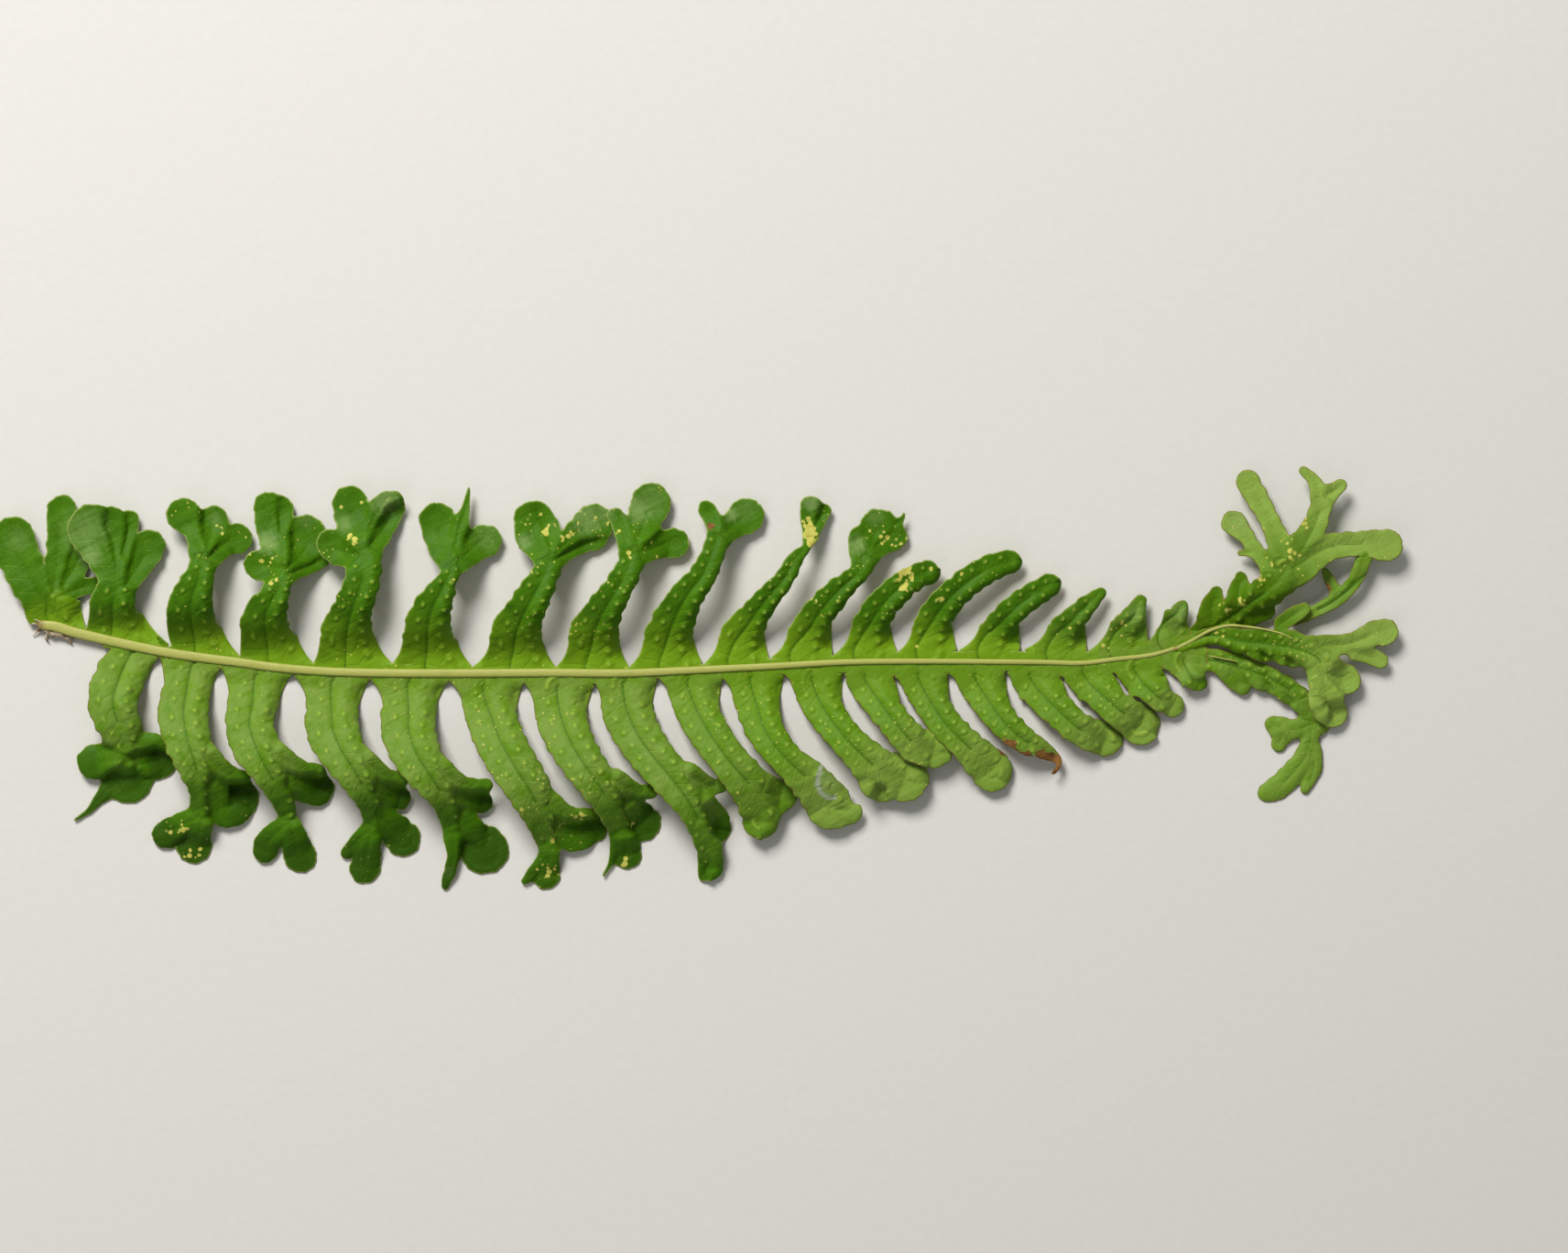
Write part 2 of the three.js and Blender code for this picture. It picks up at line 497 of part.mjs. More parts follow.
// Swaps the shared side of two triangles wherever that widens their narrowest angle.
function evenOut(points, faces) {
  const across = (a, b, c) => {
    const u = points[a].clone().sub(points[c]);
    const v = points[b].clone().sub(points[c]);
    return Math.atan2(Math.abs(u.cross(v)), u.dot(v));
  };
  for (let pass = 0; pass < 40; pass += 1) {
    const owner = new Map();
    faces.forEach((f, n) => f.forEach((v, k) => owner.set(`${v},${f[(k + 1) % 3]}`, n)));
    const touched = new Set();
    for (const [key, n] of owner) {
      const [a, b] = key.split(',').map(Number);
      const m = owner.get(`${b},${a}`);
      if (m === undefined || a > b || touched.has(n) || touched.has(m)) continue;
      const c = faces[n].find((v) => v !== a && v !== b);
      const d = faces[m].find((v) => v !== a && v !== b);
      const sharp = across(a, b, c) + across(a, b, d) > Math.PI + 1e-6;
      const [pa, pb, pc, pd] = [a, b, c, d].map((v) => points[v]);
      if (sharp && turns(pc, pa, pd) > 1e-6 && turns(pc, pd, pb) > 1e-6) {
        faces[n] = [c, a, d];
        faces[m] = [c, d, b];
        touched.add(n).add(m);
      }
    }
    if (!touched.size) return;
  }
}

// Splits the triangle that holds p in three. A point almost on a side is left out.
function insertPoint(points, faces, p, clear = 0.05) {
  const n = faces.findIndex((f) => f.every((v, k) => turns(points[v], points[f[(k + 1) % 3]], p) > clear));
  if (n < 0) return;
  const [a, b, c] = faces[n];
  const v = points.push(p) - 1;
  faces[n] = [a, b, v];
  faces.push([b, c, v], [c, a, v]);
  evenOut(points, faces);
}

const triangles = (positions, indices) => {
  const mesh = new wasm.Mesh({
    numProp: 3,
    vertProperties: new Float32Array(positions),
    triVerts: new Uint32Array(indices),
  });
  return new wasm.Manifold(mesh);
};

// A blade of even thickness over the outline, split into triangles alike on both faces.
function blade(strokes, edgeAt, height) {
  const box = new THREE.Box2();
  strokes.flat().forEach(({ p, r }) => box.expandByPoint(p.clone().addScalar(r + 1))
    .expandByPoint(p.clone().addScalar(-r - 1)));
  const rim = simplifyLoop(traceOutline(edgeAt, box), OUTLINE_TOLERANCE);
  const inner = innerPoints(strokes, edgeAt);
  const points = [...rim];
  const faces = THREE.ShapeUtils.triangulateShape([...rim], []);
  inner.forEach((p) => insertPoint(points, faces, p));
  const slope = (before, after) => (after - before) / (2 * SLOPE_STEP);
  const top = [];
  const bottom = [];
  for (const { x, y } of points) {
    const slopeX = slope(height(x - SLOPE_STEP, y), height(x + SLOPE_STEP, y));
    const slopeY = slope(height(x, y - SLOPE_STEP), height(x, y + SLOPE_STEP));
    const normal = new THREE.Vector3(-slopeX, -slopeY, 1).setLength(BLADE_THICKNESS / 2);
    const z = height(x, y);
    top.push(x + normal.x, y + normal.y, z + normal.z);
    bottom.push(x - normal.x, y - normal.y, Math.max(0, z - normal.z));
  }
  const count = points.length;
  const indices = [];
  for (const [a, b, c] of faces) indices.push(a, b, c, count + a, count + c, count + b);
  rim.forEach((_, i) => {
    const j = (i + 1) % rim.length;
    indices.push(i, count + i, j, j, count + i, count + j);
  });
  return triangles([...top, ...bottom], indices);
}

// A lobe that leaves the web level, then takes the height of its strokes.
function lobe(drawing, side, web, i) {
  const strokes = lobeStrokes(drawing);
  const height = (x, y) => {
    const clear = THREE.MathUtils.smoothstep(side * (y - lineY(web, x)), 0, LIFT_OFF);
    return THREE.MathUtils.lerp(ROOT_HEIGHT, survey(strokes, x, y).z, clear);
  };
  return blade(strokes, lobeEdge(strokes, side, web[i], web[i + 1], drawing.bite), height);
}

function tipBranch(drawing) {
  const strokes = lobeStrokes(drawing);
  return blade(strokes, (x, y) => survey(strokes, x, y).edge, (x, y) => survey(strokes, x, y).z);
}

const shapeOf = (points) => new THREE.Shape(points.map(([x, y]) => new THREE.Vector2(x, y)));

// The web: a flat strip between the two rows of notches.
function webSolid() {
  const strip = new THREE.ExtrudeGeometry(shapeOf([...lowerWeb, ...[...upperWeb].reverse()]),
    { depth: WEB_THICKNESS, bevelEnabled: false, steps: 1 });
  strip.translate(0, 0, ROOT_HEIGHT - WEB_THICKNESS / 2);
  strip.deleteAttribute('normal');
  strip.deleteAttribute('uv');
  const merged = mergeVertices(strip);
  return triangles(merged.attributes.position.array, merged.index.array);
}

// The midrib: a keeled section carried along its middle line.
function midribSolid() {
  const section = (r) => [
    [-r * KEEL_SHARE, 0], [r * KEEL_SHARE, 0], [r, CHEEK_LOW], [r, CHEEK_HIGH],
    [r * RIDGE_SHARE, MIDRIB_HEIGHT], [-r * RIDGE_SHARE, MIDRIB_HEIGHT], [-r, CHEEK_HIGH], [-r, CHEEK_LOW],
  ];
  const sides = section(1).length;
  const positions = [];
  midrib.forEach(([x, y, r], i) => {
    const [x0, y0] = midrib[Math.max(0, i - 1)];
    const [x1, y1] = midrib[Math.min(midrib.length - 1, i + 1)];
    const normal = new THREE.Vector2(y0 - y1, x1 - x0).normalize();
    for (const [across, z] of section(r)) positions.push(x + normal.x * across, y + normal.y * across, z);
  });
  const indices = [];
  const rings = midrib.length;
  for (let i = 0; i < rings - 1; i += 1) {
    for (let k = 0; k < sides; k += 1) {
      const [a, b] = [i * sides + k, i * sides + ((k + 1) % sides)];
      indices.push(a, b, a + sides, b, b + sides, a + sides);
    }
  }
  const last = (rings - 1) * sides;
  for (const [a, b, c] of THREE.ShapeUtils.triangulateShape(shapeOf(section(1)).getPoints(), [])) {
    indices.push(a, c, b, last + a, last + b, last + c);
  }
  return triangles(positions, indices);
}

function frondSolid() {
  const pieces = [
    midribSolid(),
    ...UPPER_LOBES.map((drawing, i) => lobe(drawing, 1, upperWeb, i)),
    ...LOWER_LOBES.map((drawing, i) => lobe(drawing, -1, lowerWeb, i)),
    ...TIP_BRANCHES.map(tipBranch),
  ];
  return pieces.reduce((whole, piece) => whole.add(piece), webSolid());
}

const { numProp, vertProperties, triVerts } = frondSolid().getMesh();
const geometry = new THREE.BufferGeometry();
const corners = new Float32Array((vertProperties.length / numProp) * 3);
for (let i = 0; i < corners.length; i += 1) {
  corners[i] = vertProperties[Math.floor(i / 3) * numProp + (i % 3)];
}
geometry.setAttribute('position', new THREE.BufferAttribute(corners, 3));
geometry.setIndex(new THREE.BufferAttribute(new Uint32Array(triVerts), 1));
geometry.computeVertexNormals();

const leafGreen = new THREE.MeshStandardMaterial({ color: 0x4f9a2a, roughness: 0.5, metalness: 0 });
const frond = new THREE.Mesh(geometry, leafGreen);
frond.name = 'frond';

const group = new THREE.Group();
group.add(frond);

export default group;
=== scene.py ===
import logging
import math
from collections.abc import Callable, Sequence
from dataclasses import dataclass
from enum import Enum, IntEnum

import bpy
import numpy as np
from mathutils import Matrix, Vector


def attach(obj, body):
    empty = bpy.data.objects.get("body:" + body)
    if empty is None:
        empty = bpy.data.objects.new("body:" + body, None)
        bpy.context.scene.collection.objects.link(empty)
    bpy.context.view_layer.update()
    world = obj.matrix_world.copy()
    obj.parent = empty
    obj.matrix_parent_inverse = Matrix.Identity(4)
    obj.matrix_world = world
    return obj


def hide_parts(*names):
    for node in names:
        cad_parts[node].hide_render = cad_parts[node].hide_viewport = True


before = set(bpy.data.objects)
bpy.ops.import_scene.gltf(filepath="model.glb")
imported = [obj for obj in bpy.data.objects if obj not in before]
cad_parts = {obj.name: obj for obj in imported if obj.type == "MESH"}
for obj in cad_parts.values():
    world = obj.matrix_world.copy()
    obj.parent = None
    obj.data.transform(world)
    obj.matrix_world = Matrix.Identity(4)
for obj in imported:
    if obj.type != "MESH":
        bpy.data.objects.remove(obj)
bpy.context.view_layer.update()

logging.basicConfig(level=logging.INFO, format="%(message)s")
LOG = logging.getLogger("frond")

BODY = "root"
NODE = "frond"
METRES = 0.001

# The frond is drawn on a sheet ruled in sixths of a millimetre, x to the right and y down the sheet.
# DATUM is the place on the sheet over which the frame's origin stands.
RULE = 1 / 6
DATUM = (761.0, 741.0)
SHEET_SIZE = (1712, 1368)

# The camera's height over the floor, in metres.
CAMERA_HEIGHT = 0.7926

# The blade, in millimetres. BLEND is how softly the strokes of a lobe flow together.
BLADE_THICKNESS = 0.44
ROOT_HEIGHT = 1.1
BLEND = 0.42
MIDRIB_HEIGHT = 1.75

# A lobe is highest at this share of its length, and its rise is a sine to this power.
PEAK_AT = 0.62
RISE_POWER = 1.8

# The side veins: how far apart they leave the midvein, and how they slant and curl away from it.
SIDE_VEIN_PITCH = 2.6
SIDE_VEIN_SLANT = 0.75
SIDE_VEIN_CURL = 0.05

# The lattice: its pitch in millimetres, the share of a cell within which a node moves onto the outline,
# how far inside the outline the middle surface ends, because the rim bulges, and an edge distance that
# stands for nothing near. STRIDE and OFFSET number its nodes.
LATTICE = 0.33
SNAP = 0.32
INSET = 0.1
FAR = 50.0
STRIDE = 1 << 14
OFFSET = 1 << 13

# What is kept of each vertex for the relief and the finish.
MARKS = ("run", "off", "east", "vein", "sorus", "rim", "share", "fleck", "painted_light")

Point = tuple[float, float, float]
Spot = tuple[float, float, float, float]
Colour = tuple[float, float, float, float]
Surface = tuple[np.ndarray, np.ndarray, np.ndarray]


class Side(IntEnum):
    """The side of the midrib that a lobe grows on, as the sheet lies."""

    UP = 1
    DOWN = -1


@dataclass(frozen=True)
class Finger:
    """A finger of a lobe's crest: the height of its end and its [x, y, half width] on the sheet.

    Its root lies lower by sink than what it grows out of.
    """

    tip: float
    at: Sequence[Point]
    sink: float = 0.0


@dataclass(frozen=True)
class Lobe:
    """A lobe: the height of its arch, the height where its crest begins, its spine and its fingers.

    A bite is an [x, y, radius] that something ate out of it. Fleck is how far it is flecked with yellow.
    The value after it is how much painted sheen and painted light pale its colour beyond its row's, and
    shade is how much painted shade darkens its low-hanging crest.
    """

    peak: float
    end: float
    spine: Sequence[Point]
    crest: Sequence[Finger] = ()
    root: float = ROOT_HEIGHT
    bite: Point | None = None
    fleck: float = 0.3
    painted_light: float = 0.0
    shade: float = 0.0


class Kind(Enum):
    """What a mark is: dead brown tissue, yellow flecks, a lifted silvery skin or a patch of painted milky
    sheen.
    """

    DRY = "dry"
    FLECK = "fleck"
    SILVER = "silver"
    HAZE = "sheen"


# The midrib: [x, y, half width], the last in millimetres.
MIDRIB: list[Point] = [
    (42, 682, 0.75), (60, 684, 0.9), (80, 690, 0.9), (100, 695, 0.88), (140, 704, 0.86), (180, 712, 0.85),
    (220, 718, 0.82), (260, 723, 0.8), (300, 728.5, 0.78), (340, 732, 0.76), (380, 734, 0.75),
    (440, 735, 0.75), (520, 735, 0.75), (600, 734.5, 0.74), (680, 735, 0.72), (760, 731.5, 0.66),
    (840, 727.5, 0.6), (920, 723, 0.54), (1000, 722, 0.5), (1080, 722.5, 0.48), (1140, 723, 0.46),
    (1180, 724, 0.45), (1220, 719.5, 0.42), (1260, 714.5, 0.4), (1300, 702, 0.34), (1330, 692, 0.3),
]

# The lobes up the sheet from the midrib, from the frond's foot to its tip.
UPPER_LOBES: list[Lobe] = [
    Lobe(peak=3.1, end=2.9, spine=[(66, 684, 20), (57, 668, 28), (52, 655, 20)],
        crest=[
            Finger(1.4, [(48, 660, 20), (32, 633, 22), (19, 603, 24), (15, 588, 24)]),
            Finger(0.8, [(58, 650, 12), (63, 610, 13), (66, 575, 15), (67, 556, 16)], sink=0.5),
            Finger(0.5, [(62, 652, 8), (85, 643, 9), (107, 638, 9)]),
            Finger(0.4, [(70, 638, 11), (84, 615, 14), (90, 598, 12)], sink=0.6),
        ]),
    Lobe(peak=4.7, end=4.5, spine=[(136, 700, 26), (124, 672, 26), (124, 655, 24), (130, 638, 17)],
        crest=[
            Finger(3.6, [(126, 632, 16), (113, 603, 22), (100, 578, 27)]),
            Finger(2.2, [(128, 625, 14), (124, 585, 20), (121, 574, 21)]),
            Finger(1.2, [(134, 605, 10), (140, 580, 10), (142, 567, 10)], sink=0.7),
            Finger(1.2, [(136, 640, 12), (152, 617, 15), (163, 596, 18)]),
        ]),
    Lobe(peak=7, end=5.6, fleck=0.8,
        spine=[
            (228, 716, 26), (211, 687, 27), (208, 662, 25), (214, 640, 19), (221, 618, 14), (224, 605, 15),
        ],
        crest=[
            Finger(3, [(222, 602, 15), (212, 580, 12), (201, 562, 19)]),
            Finger(1.2, [(226, 600, 15), (232, 575, 17), (233, 569, 17)], sink=0.4),
            Finger(1.2, [(226, 610, 13), (246, 593, 15), (259, 589, 17)]),
        ]),
    Lobe(peak=7.2, end=5.8, fleck=0.7,
        spine=[
            (308, 722, 26), (291, 694, 28), (290, 672, 24), (300, 650, 16), (309, 632, 11), (311, 618, 14),
        ],
        crest=[
            Finger(4.2, [(308, 620, 14), (292, 618, 18), (282, 616, 16)]),
            Finger(1.6, [(308, 606, 14), (298, 580, 18), (294, 554, 17)], sink=0.9),
            Finger(0.8, [(306, 580, 13), (306, 556, 14)], sink=0.4),
            Finger(0.6, [(314, 620, 12), (333, 600, 20), (335, 585, 23)], sink=0.3),
            Finger(0.8, [(316, 626, 9), (338, 618, 9), (352, 612, 8)]),
        ]),
    Lobe(peak=7.6, end=5.4, fleck=0.9,
        spine=[
            (392, 727, 28), (379, 698, 30), (384, 668, 22), (394, 640, 20), (398, 618, 19), (396, 600, 20),
        ],
        crest=[
            Finger(3.4, [(390, 606, 16), (368, 600, 17), (362, 594, 17)]),
            Finger(1.8, [(394, 590, 18), (385, 562, 20), (382, 550, 20)], sink=0.2),
            Finger(0.8, [(404, 596, 14), (418, 578, 13), (430, 556, 12)], sink=0.6),
            Finger(3, [(404, 574, 10), (418, 550, 12), (429, 547, 11)]),
        ]),
    Lobe(peak=7.4, end=5.8, fleck=0.5,
        spine=[
            (480, 728, 28), (467, 696, 27), (471, 668, 22), (482, 645, 15), (491, 628, 10), (495, 612, 12),
        ],
        crest=[
            Finger(1.8, [(491, 610, 14), (481, 583, 19), (478, 568, 20)]),
            Finger(4.4, [(482, 604, 10), (476, 603, 6)]),
            Finger(2.2, [(497, 595, 12), (502, 575, 10), (508, 556, 5), (512, 533, 1.5)], sink=0.3),
            Finger(1.2, [(502, 612, 13), (520, 595, 18), (530, 591, 18)]),
        ]),
    Lobe(peak=7.6, end=5.4, fleck=1.0,
        spine=[
            (572, 730, 28), (563, 698, 29), (572, 671, 22), (584, 648, 19), (596, 626, 15), (600, 610, 16),
        ],
        crest=[
            Finger(2.2, [(595, 603, 16), (582, 586, 19), (580, 567, 19)]),
            Finger(1.6, [(602, 602, 12), (597, 576, 14), (587, 562, 14)], sink=0.3),
            Finger(1.6, [(608, 602, 10), (628, 584, 14), (648, 572, 22)], sink=0.3),
            Finger(0.8, [(604, 612, 9), (630, 598, 9), (652, 590, 10)]),
        ]),
    Lobe(peak=7.4, end=5.4, fleck=1.0,
        spine=[
            (654, 730, 26), (648, 698, 28), (656, 674, 22), (671, 648, 17), (685, 624, 15), (691, 604, 14),
        ],
        crest=[
            Finger(3.4, [(686, 592, 12), (677, 572, 10), (672, 563, 9)]),
            Finger(1.4, [(697, 588, 15), (708, 556, 21), (711, 549, 22)], sink=0.3),
            Finger(1.2, [(702, 602, 13), (725, 594, 15), (736, 593, 17)]),
        ]),
    Lobe(peak=7, end=4.4, fleck=0.4,
        spine=[
            (735, 728, 28), (730, 698, 27), (739, 671, 22), (752, 648, 18), (768, 627, 15), (779, 603, 13),
            (784, 588, 13),
        ],
        crest=[
            Finger(2.8, [(784, 578, 10), (774, 560, 10), (772, 556, 10)]),
            Finger(1.2, [(790, 582, 12), (808, 568, 17), (814, 563, 20)]),
        ]),
    Lobe(peak=6.6, end=3.2, fleck=0.8,
        spine=[
            (810, 722, 24), (809, 698, 24), (823, 673, 17), (840, 651, 13.5), (857, 631, 11), (868, 611, 9),
            (880, 598, 5), (885, 586, 7),
        ],
        crest=[
            Finger(2.4, [(885, 586, 7), (884, 568, 10), (885, 553, 12)]),
            Finger(1.2, [(890, 575, 8), (900, 558, 8)], sink=0.3),
        ]),
    Lobe(peak=6, end=3.8, fleck=0.9,
        spine=[
            (878, 718, 24), (882, 694, 22), (894, 670, 18), (910, 651, 16), (926, 636, 12), (940, 623, 11),
            (946, 606, 13),
        ],
        crest=[
            Finger(1.4, [(948, 600, 16), (959, 576, 21)]),
            Finger(2.6, [(940, 612, 10), (935, 594, 9), (936, 585, 9)]),
            Finger(1.2, [(958, 594, 14), (975, 586, 16)], sink=0.3),
            Finger(2, [(978, 572, 5), (985, 566, 2.5), (987, 561, 1.5)]),
        ]),
    Lobe(peak=5, end=2.6, fleck=0.9,
        spine=[
            (948, 714, 22), (949, 687, 20), (962, 663, 18), (982, 642, 16), (1003, 629, 14),
            (1013, 625, 14),
        ]),
    Lobe(peak=4.8, end=2.4, fleck=0.8,
        spine=[
            (1016, 712, 22), (1017, 684, 20), (1032, 659, 18), (1055, 637, 16), (1080, 621, 15),
            (1103, 613, 13),
        ]),
    Lobe(peak=4.2, end=2.2, painted_light=0.1,
        spine=[(1083, 712, 20), (1086, 693, 18), (1100, 673, 16), (1120, 655, 14.5), (1146, 639, 13)]),
    Lobe(peak=3.6, end=2.2, painted_light=0.35, fleck=0.6,
        spine=[(1158, 714, 20), (1160, 693, 18), (1173, 675, 14), (1187, 661, 11), (1202, 647, 6)]),
    Lobe(peak=3, end=2.2, painted_light=0.6, fleck=0.6,
        spine=[(1226, 708, 18), (1228, 690, 17), (1238, 673, 13), (1245, 656, 7)]),
    Lobe(peak=2.8, end=2.3, painted_light=0.8,
        spine=[(1280, 697, 20), (1283, 681, 13), (1288, 668, 10), (1291, 661, 6)]),
]

# The lobes down the sheet from the midrib, from the foot to the tip.
LOWER_LOBES: list[Lobe] = [
    Lobe(peak=5.6, end=4, shade=1.0,
        spine=[(146, 716, 24), (130, 742, 28), (123, 768, 27), (130, 792, 24), (138, 812, 20)],
        crest=[
            Finger(2, [(130, 830, 18), (104, 832, 20)]),
            Finger(3.2, [(146, 814, 14), (166, 812, 12), (182, 818, 10)]),
            Finger(0.5, [(140, 838, 22), (140, 850, 27)], sink=0.7),
            Finger(0.5, [(152, 834, 22), (174, 830, 20)], sink=1.0),
            Finger(0.5, [(118, 862, 10), (107, 874, 6), (96, 886, 3.5), (82, 895, 1.5)]),
        ]),
    Lobe(peak=7.4, end=3.6, shade=1.0, fleck=0.6,
        spine=[
            (213, 728, 24), (205, 752, 26), (200, 780, 28), (205, 810, 25), (213, 835, 20), (219, 862, 13),
            (219, 885, 12),
        ],
        crest=[
            Finger(1.2, [(214, 893, 12), (195, 903, 15), (182, 911, 16)]),
            Finger(0.5, [(219, 900, 13), (212, 924, 19)]),
            Finger(4.4, [(226, 826, 14), (246, 843, 11), (264, 850, 9)]),
            Finger(0.5, [(232, 862, 16), (248, 880, 24), (262, 872, 21)], sink=1.0),
        ]),
    Lobe(peak=7.8, end=3.2, shade=1.0, fleck=0.5,
        spine=[
            (282, 740, 28), (277, 765, 28), (272, 790, 26), (279, 815, 26), (290, 838, 19), (304, 862, 15),
            (314, 888, 10),
        ],
        crest=[
            Finger(1, [(310, 902, 11), (295, 916, 14), (289, 928, 14)]),
            Finger(0.5, [(318, 905, 13), (327, 935, 18)]),
            Finger(4.6, [(302, 824, 14), (328, 838, 9), (348, 842, 8)]),
            Finger(0.5, [(318, 856, 12), (342, 862, 18), (350, 860, 15)], sink=1.2),
        ]),
    Lobe(peak=8, end=3, shade=1.0, fleck=0.5,
        spine=[
            (366, 746, 30), (363, 770, 29), (363, 795, 29), (373, 820, 25), (389, 845, 21), (402, 872, 15),
            (409, 895, 11),
        ],
        crest=[
            Finger(0.8, [(405, 905, 10), (389, 919, 8), (379, 931, 7)]),
            Finger(0.5, [(403, 915, 13), (399, 948, 17)]),
            Finger(4.6, [(400, 832, 13), (422, 847, 9), (438, 851, 8)]),
            Finger(1.4, [(412, 864, 13), (436, 871, 13)], sink=1.2),
            Finger(0.5, [(413, 888, 13), (428, 903, 17), (440, 915, 20)], sink=0.7),
        ]),
    Lobe(peak=8, end=2.8, shade=1.0, fleck=0.6,
        spine=[
            (449, 748, 30), (447, 772, 30), (446, 797, 30), (454, 822, 27), (470, 848, 22), (486, 873, 16),
            (494, 900, 12),
        ],
        crest=[
            Finger(0.5, [(495, 915, 11), (495, 935, 7), (491, 952, 7), (486, 967, 4.5)]),
            Finger(4.6, [(482, 842, 14), (506, 856, 9), (530, 858, 8)]),
            Finger(1.4, [(500, 872, 11), (526, 876, 12)], sink=1.2),
            Finger(0.5, [(505, 893, 13), (520, 914, 18), (528, 928, 27)], sink=0.6),
        ]),
    Lobe(peak=8, end=2.8, shade=0.7, fleck=1.0,
        spine=[
            (531, 752, 28), (535, 777, 28), (545, 806, 27), (560, 834, 26), (578, 863, 24), (592, 892, 19),
            (599, 918, 13),
        ],
        crest=[
            Finger(0.5, [(600, 930, 11), (597, 956, 15)]),
            Finger(0.7, [(596, 938, 7), (582, 953, 7), (573, 962, 4)]),
            Finger(4, [(600, 878, 14), (622, 890, 10), (645, 890, 8)]),
            Finger(0.5, [(608, 906, 15), (628, 911, 19), (648, 905, 15)], sink=1.0),
        ]),
    Lobe(peak=7.8, end=2.6, shade=0.8, fleck=0.8,
        spine=[
            (612, 752, 28), (612, 777, 28), (619, 802, 26), (633, 828, 24), (650, 852, 21), (667, 880, 18),
            (679, 905, 14),
        ],
        crest=[
            Finger(0.5, [(682, 915, 15), (685, 933, 16)]),
            Finger(0.6, [(674, 925, 7), (668, 940, 3.5), (659, 956, 1.5)]),
            Finger(4, [(672, 853, 14), (695, 864, 9), (710, 864, 8)]),
            Finger(0.5, [(688, 882, 16), (702, 898, 20)], sink=1.0),
        ]),
    Lobe(peak=7.4, end=1.4, shade=0.6, fleck=0.5,
        spine=[
            (684, 748, 28), (685, 775, 28), (696, 802, 26), (713, 826, 24), (733, 850, 22), (752, 876, 18),
            (766, 903, 15), (775, 930, 14), (777, 948, 13),
        ],
        crest=[
            Finger(3.4, [(752, 846, 14), (775, 858, 9), (787, 858, 8)]),
            Finger(0.6, [(768, 878, 14), (782, 895, 15), (784, 905, 14)], sink=0.6),
            Finger(0.5, [(772, 945, 9), (768, 957, 5)]),
        ]),
    Lobe(peak=6.6, end=3, shade=0.1, painted_light=0.2, fleck=0.8,
        spine=[
            (754, 745, 27), (761, 775, 24), (776, 803, 22), (797, 832, 21), (819, 858, 23), (830, 884, 22),
            (831, 896, 20),
        ],
        crest=[Finger(2.4, [(835, 865, 19), (852, 869, 18)])]),
    Lobe(peak=6.2, end=3, painted_light=0.35, fleck=0.8,
        spine=[
            (823, 742, 27), (827, 770, 24), (836, 799, 21), (858, 828, 18), (885, 853, 22), (905, 878, 25),
        ],
        crest=[Finger(2.2, [(908, 882, 23), (928, 886, 14)])],
        bite=(940, 866, 13)),
    Lobe(peak=5.6, end=3, painted_light=0.35, fleck=0.8,
        spine=[
            (890, 742, 27), (897, 768, 22), (914, 795, 19), (937, 820, 20), (962, 842, 24), (988, 850, 26),
        ],
        crest=[Finger(2.2, [(955, 855, 17), (962, 862, 14)])]),
    Lobe(peak=5.4, end=3.2, fleck=0.9, painted_light=0.3,
        spine=[(948, 740, 24), (962, 768, 19), (981, 793, 18), (1000, 813, 20), (1020, 818, 21)]),
    Lobe(peak=4.2, end=2, fleck=0.5, painted_light=0.3,
        spine=[(1006, 738, 25), (1016, 765, 20), (1032, 790, 18), (1056, 814, 18), (1083, 841, 23)]),
    Lobe(peak=4.4, end=2, fleck=0.5, painted_light=0.3,
        spine=[
            (1068, 738, 25), (1079, 763, 20), (1095, 787, 17), (1118, 808, 14.5), (1138, 818, 10),
            (1150, 826, 5),
        ],
        crest=[Finger(2.2, [(1148, 824, 4), (1156, 830, 3), (1155, 838, 2.5), (1150, 844, 2)])]),
    Lobe(peak=4.2, end=1.2, fleck=0.7, painted_light=0.3,
        spine=[(1128, 738, 25), (1141, 760, 20), (1161, 781, 18), (1184, 799, 18), (1207, 807, 19)]),
    Lobe(peak=3.6, end=1.2, fleck=0.7, painted_light=0.3,
        spine=[(1186, 734, 25), (1200, 755, 19), (1222, 775, 19), (1245, 791, 22)]),
    Lobe(peak=3, end=1.4, fleck=0.5, painted_light=0.3,
        spine=[(1242, 730, 24), (1251, 747, 16), (1266, 762, 14), (1280, 770, 13)]),
    Lobe(peak=2.6, end=1.8, spine=[(1296, 722, 22), (1302, 738, 14), (1309, 746, 9)]),
]

# The places where neighbouring lobes part, between the two ends of the row.
UPPER_NOTCHES: list[tuple[float, float]] = [
    (46, 681), (94, 686), (188, 706), (262, 716), (342, 724), (428, 724), (516, 728), (607, 728),
    (687, 728), (768, 725), (840, 719), (909, 716), (980, 712), (1045, 711), (1114, 711), (1187, 712),
    (1254, 700), (1300, 689),
]

LOWER_NOTCHES: list[tuple[float, float]] = [
    (112, 707), (174, 718), (241, 730), (319, 737), (404, 742), (490, 744), (572, 746), (650, 747),
    (719, 741), (789, 741), (857, 737), (920, 735), (975, 738), (1035, 735), (1097, 733), (1156, 737),
    (1213, 733), (1268, 729), (1318, 724),
]

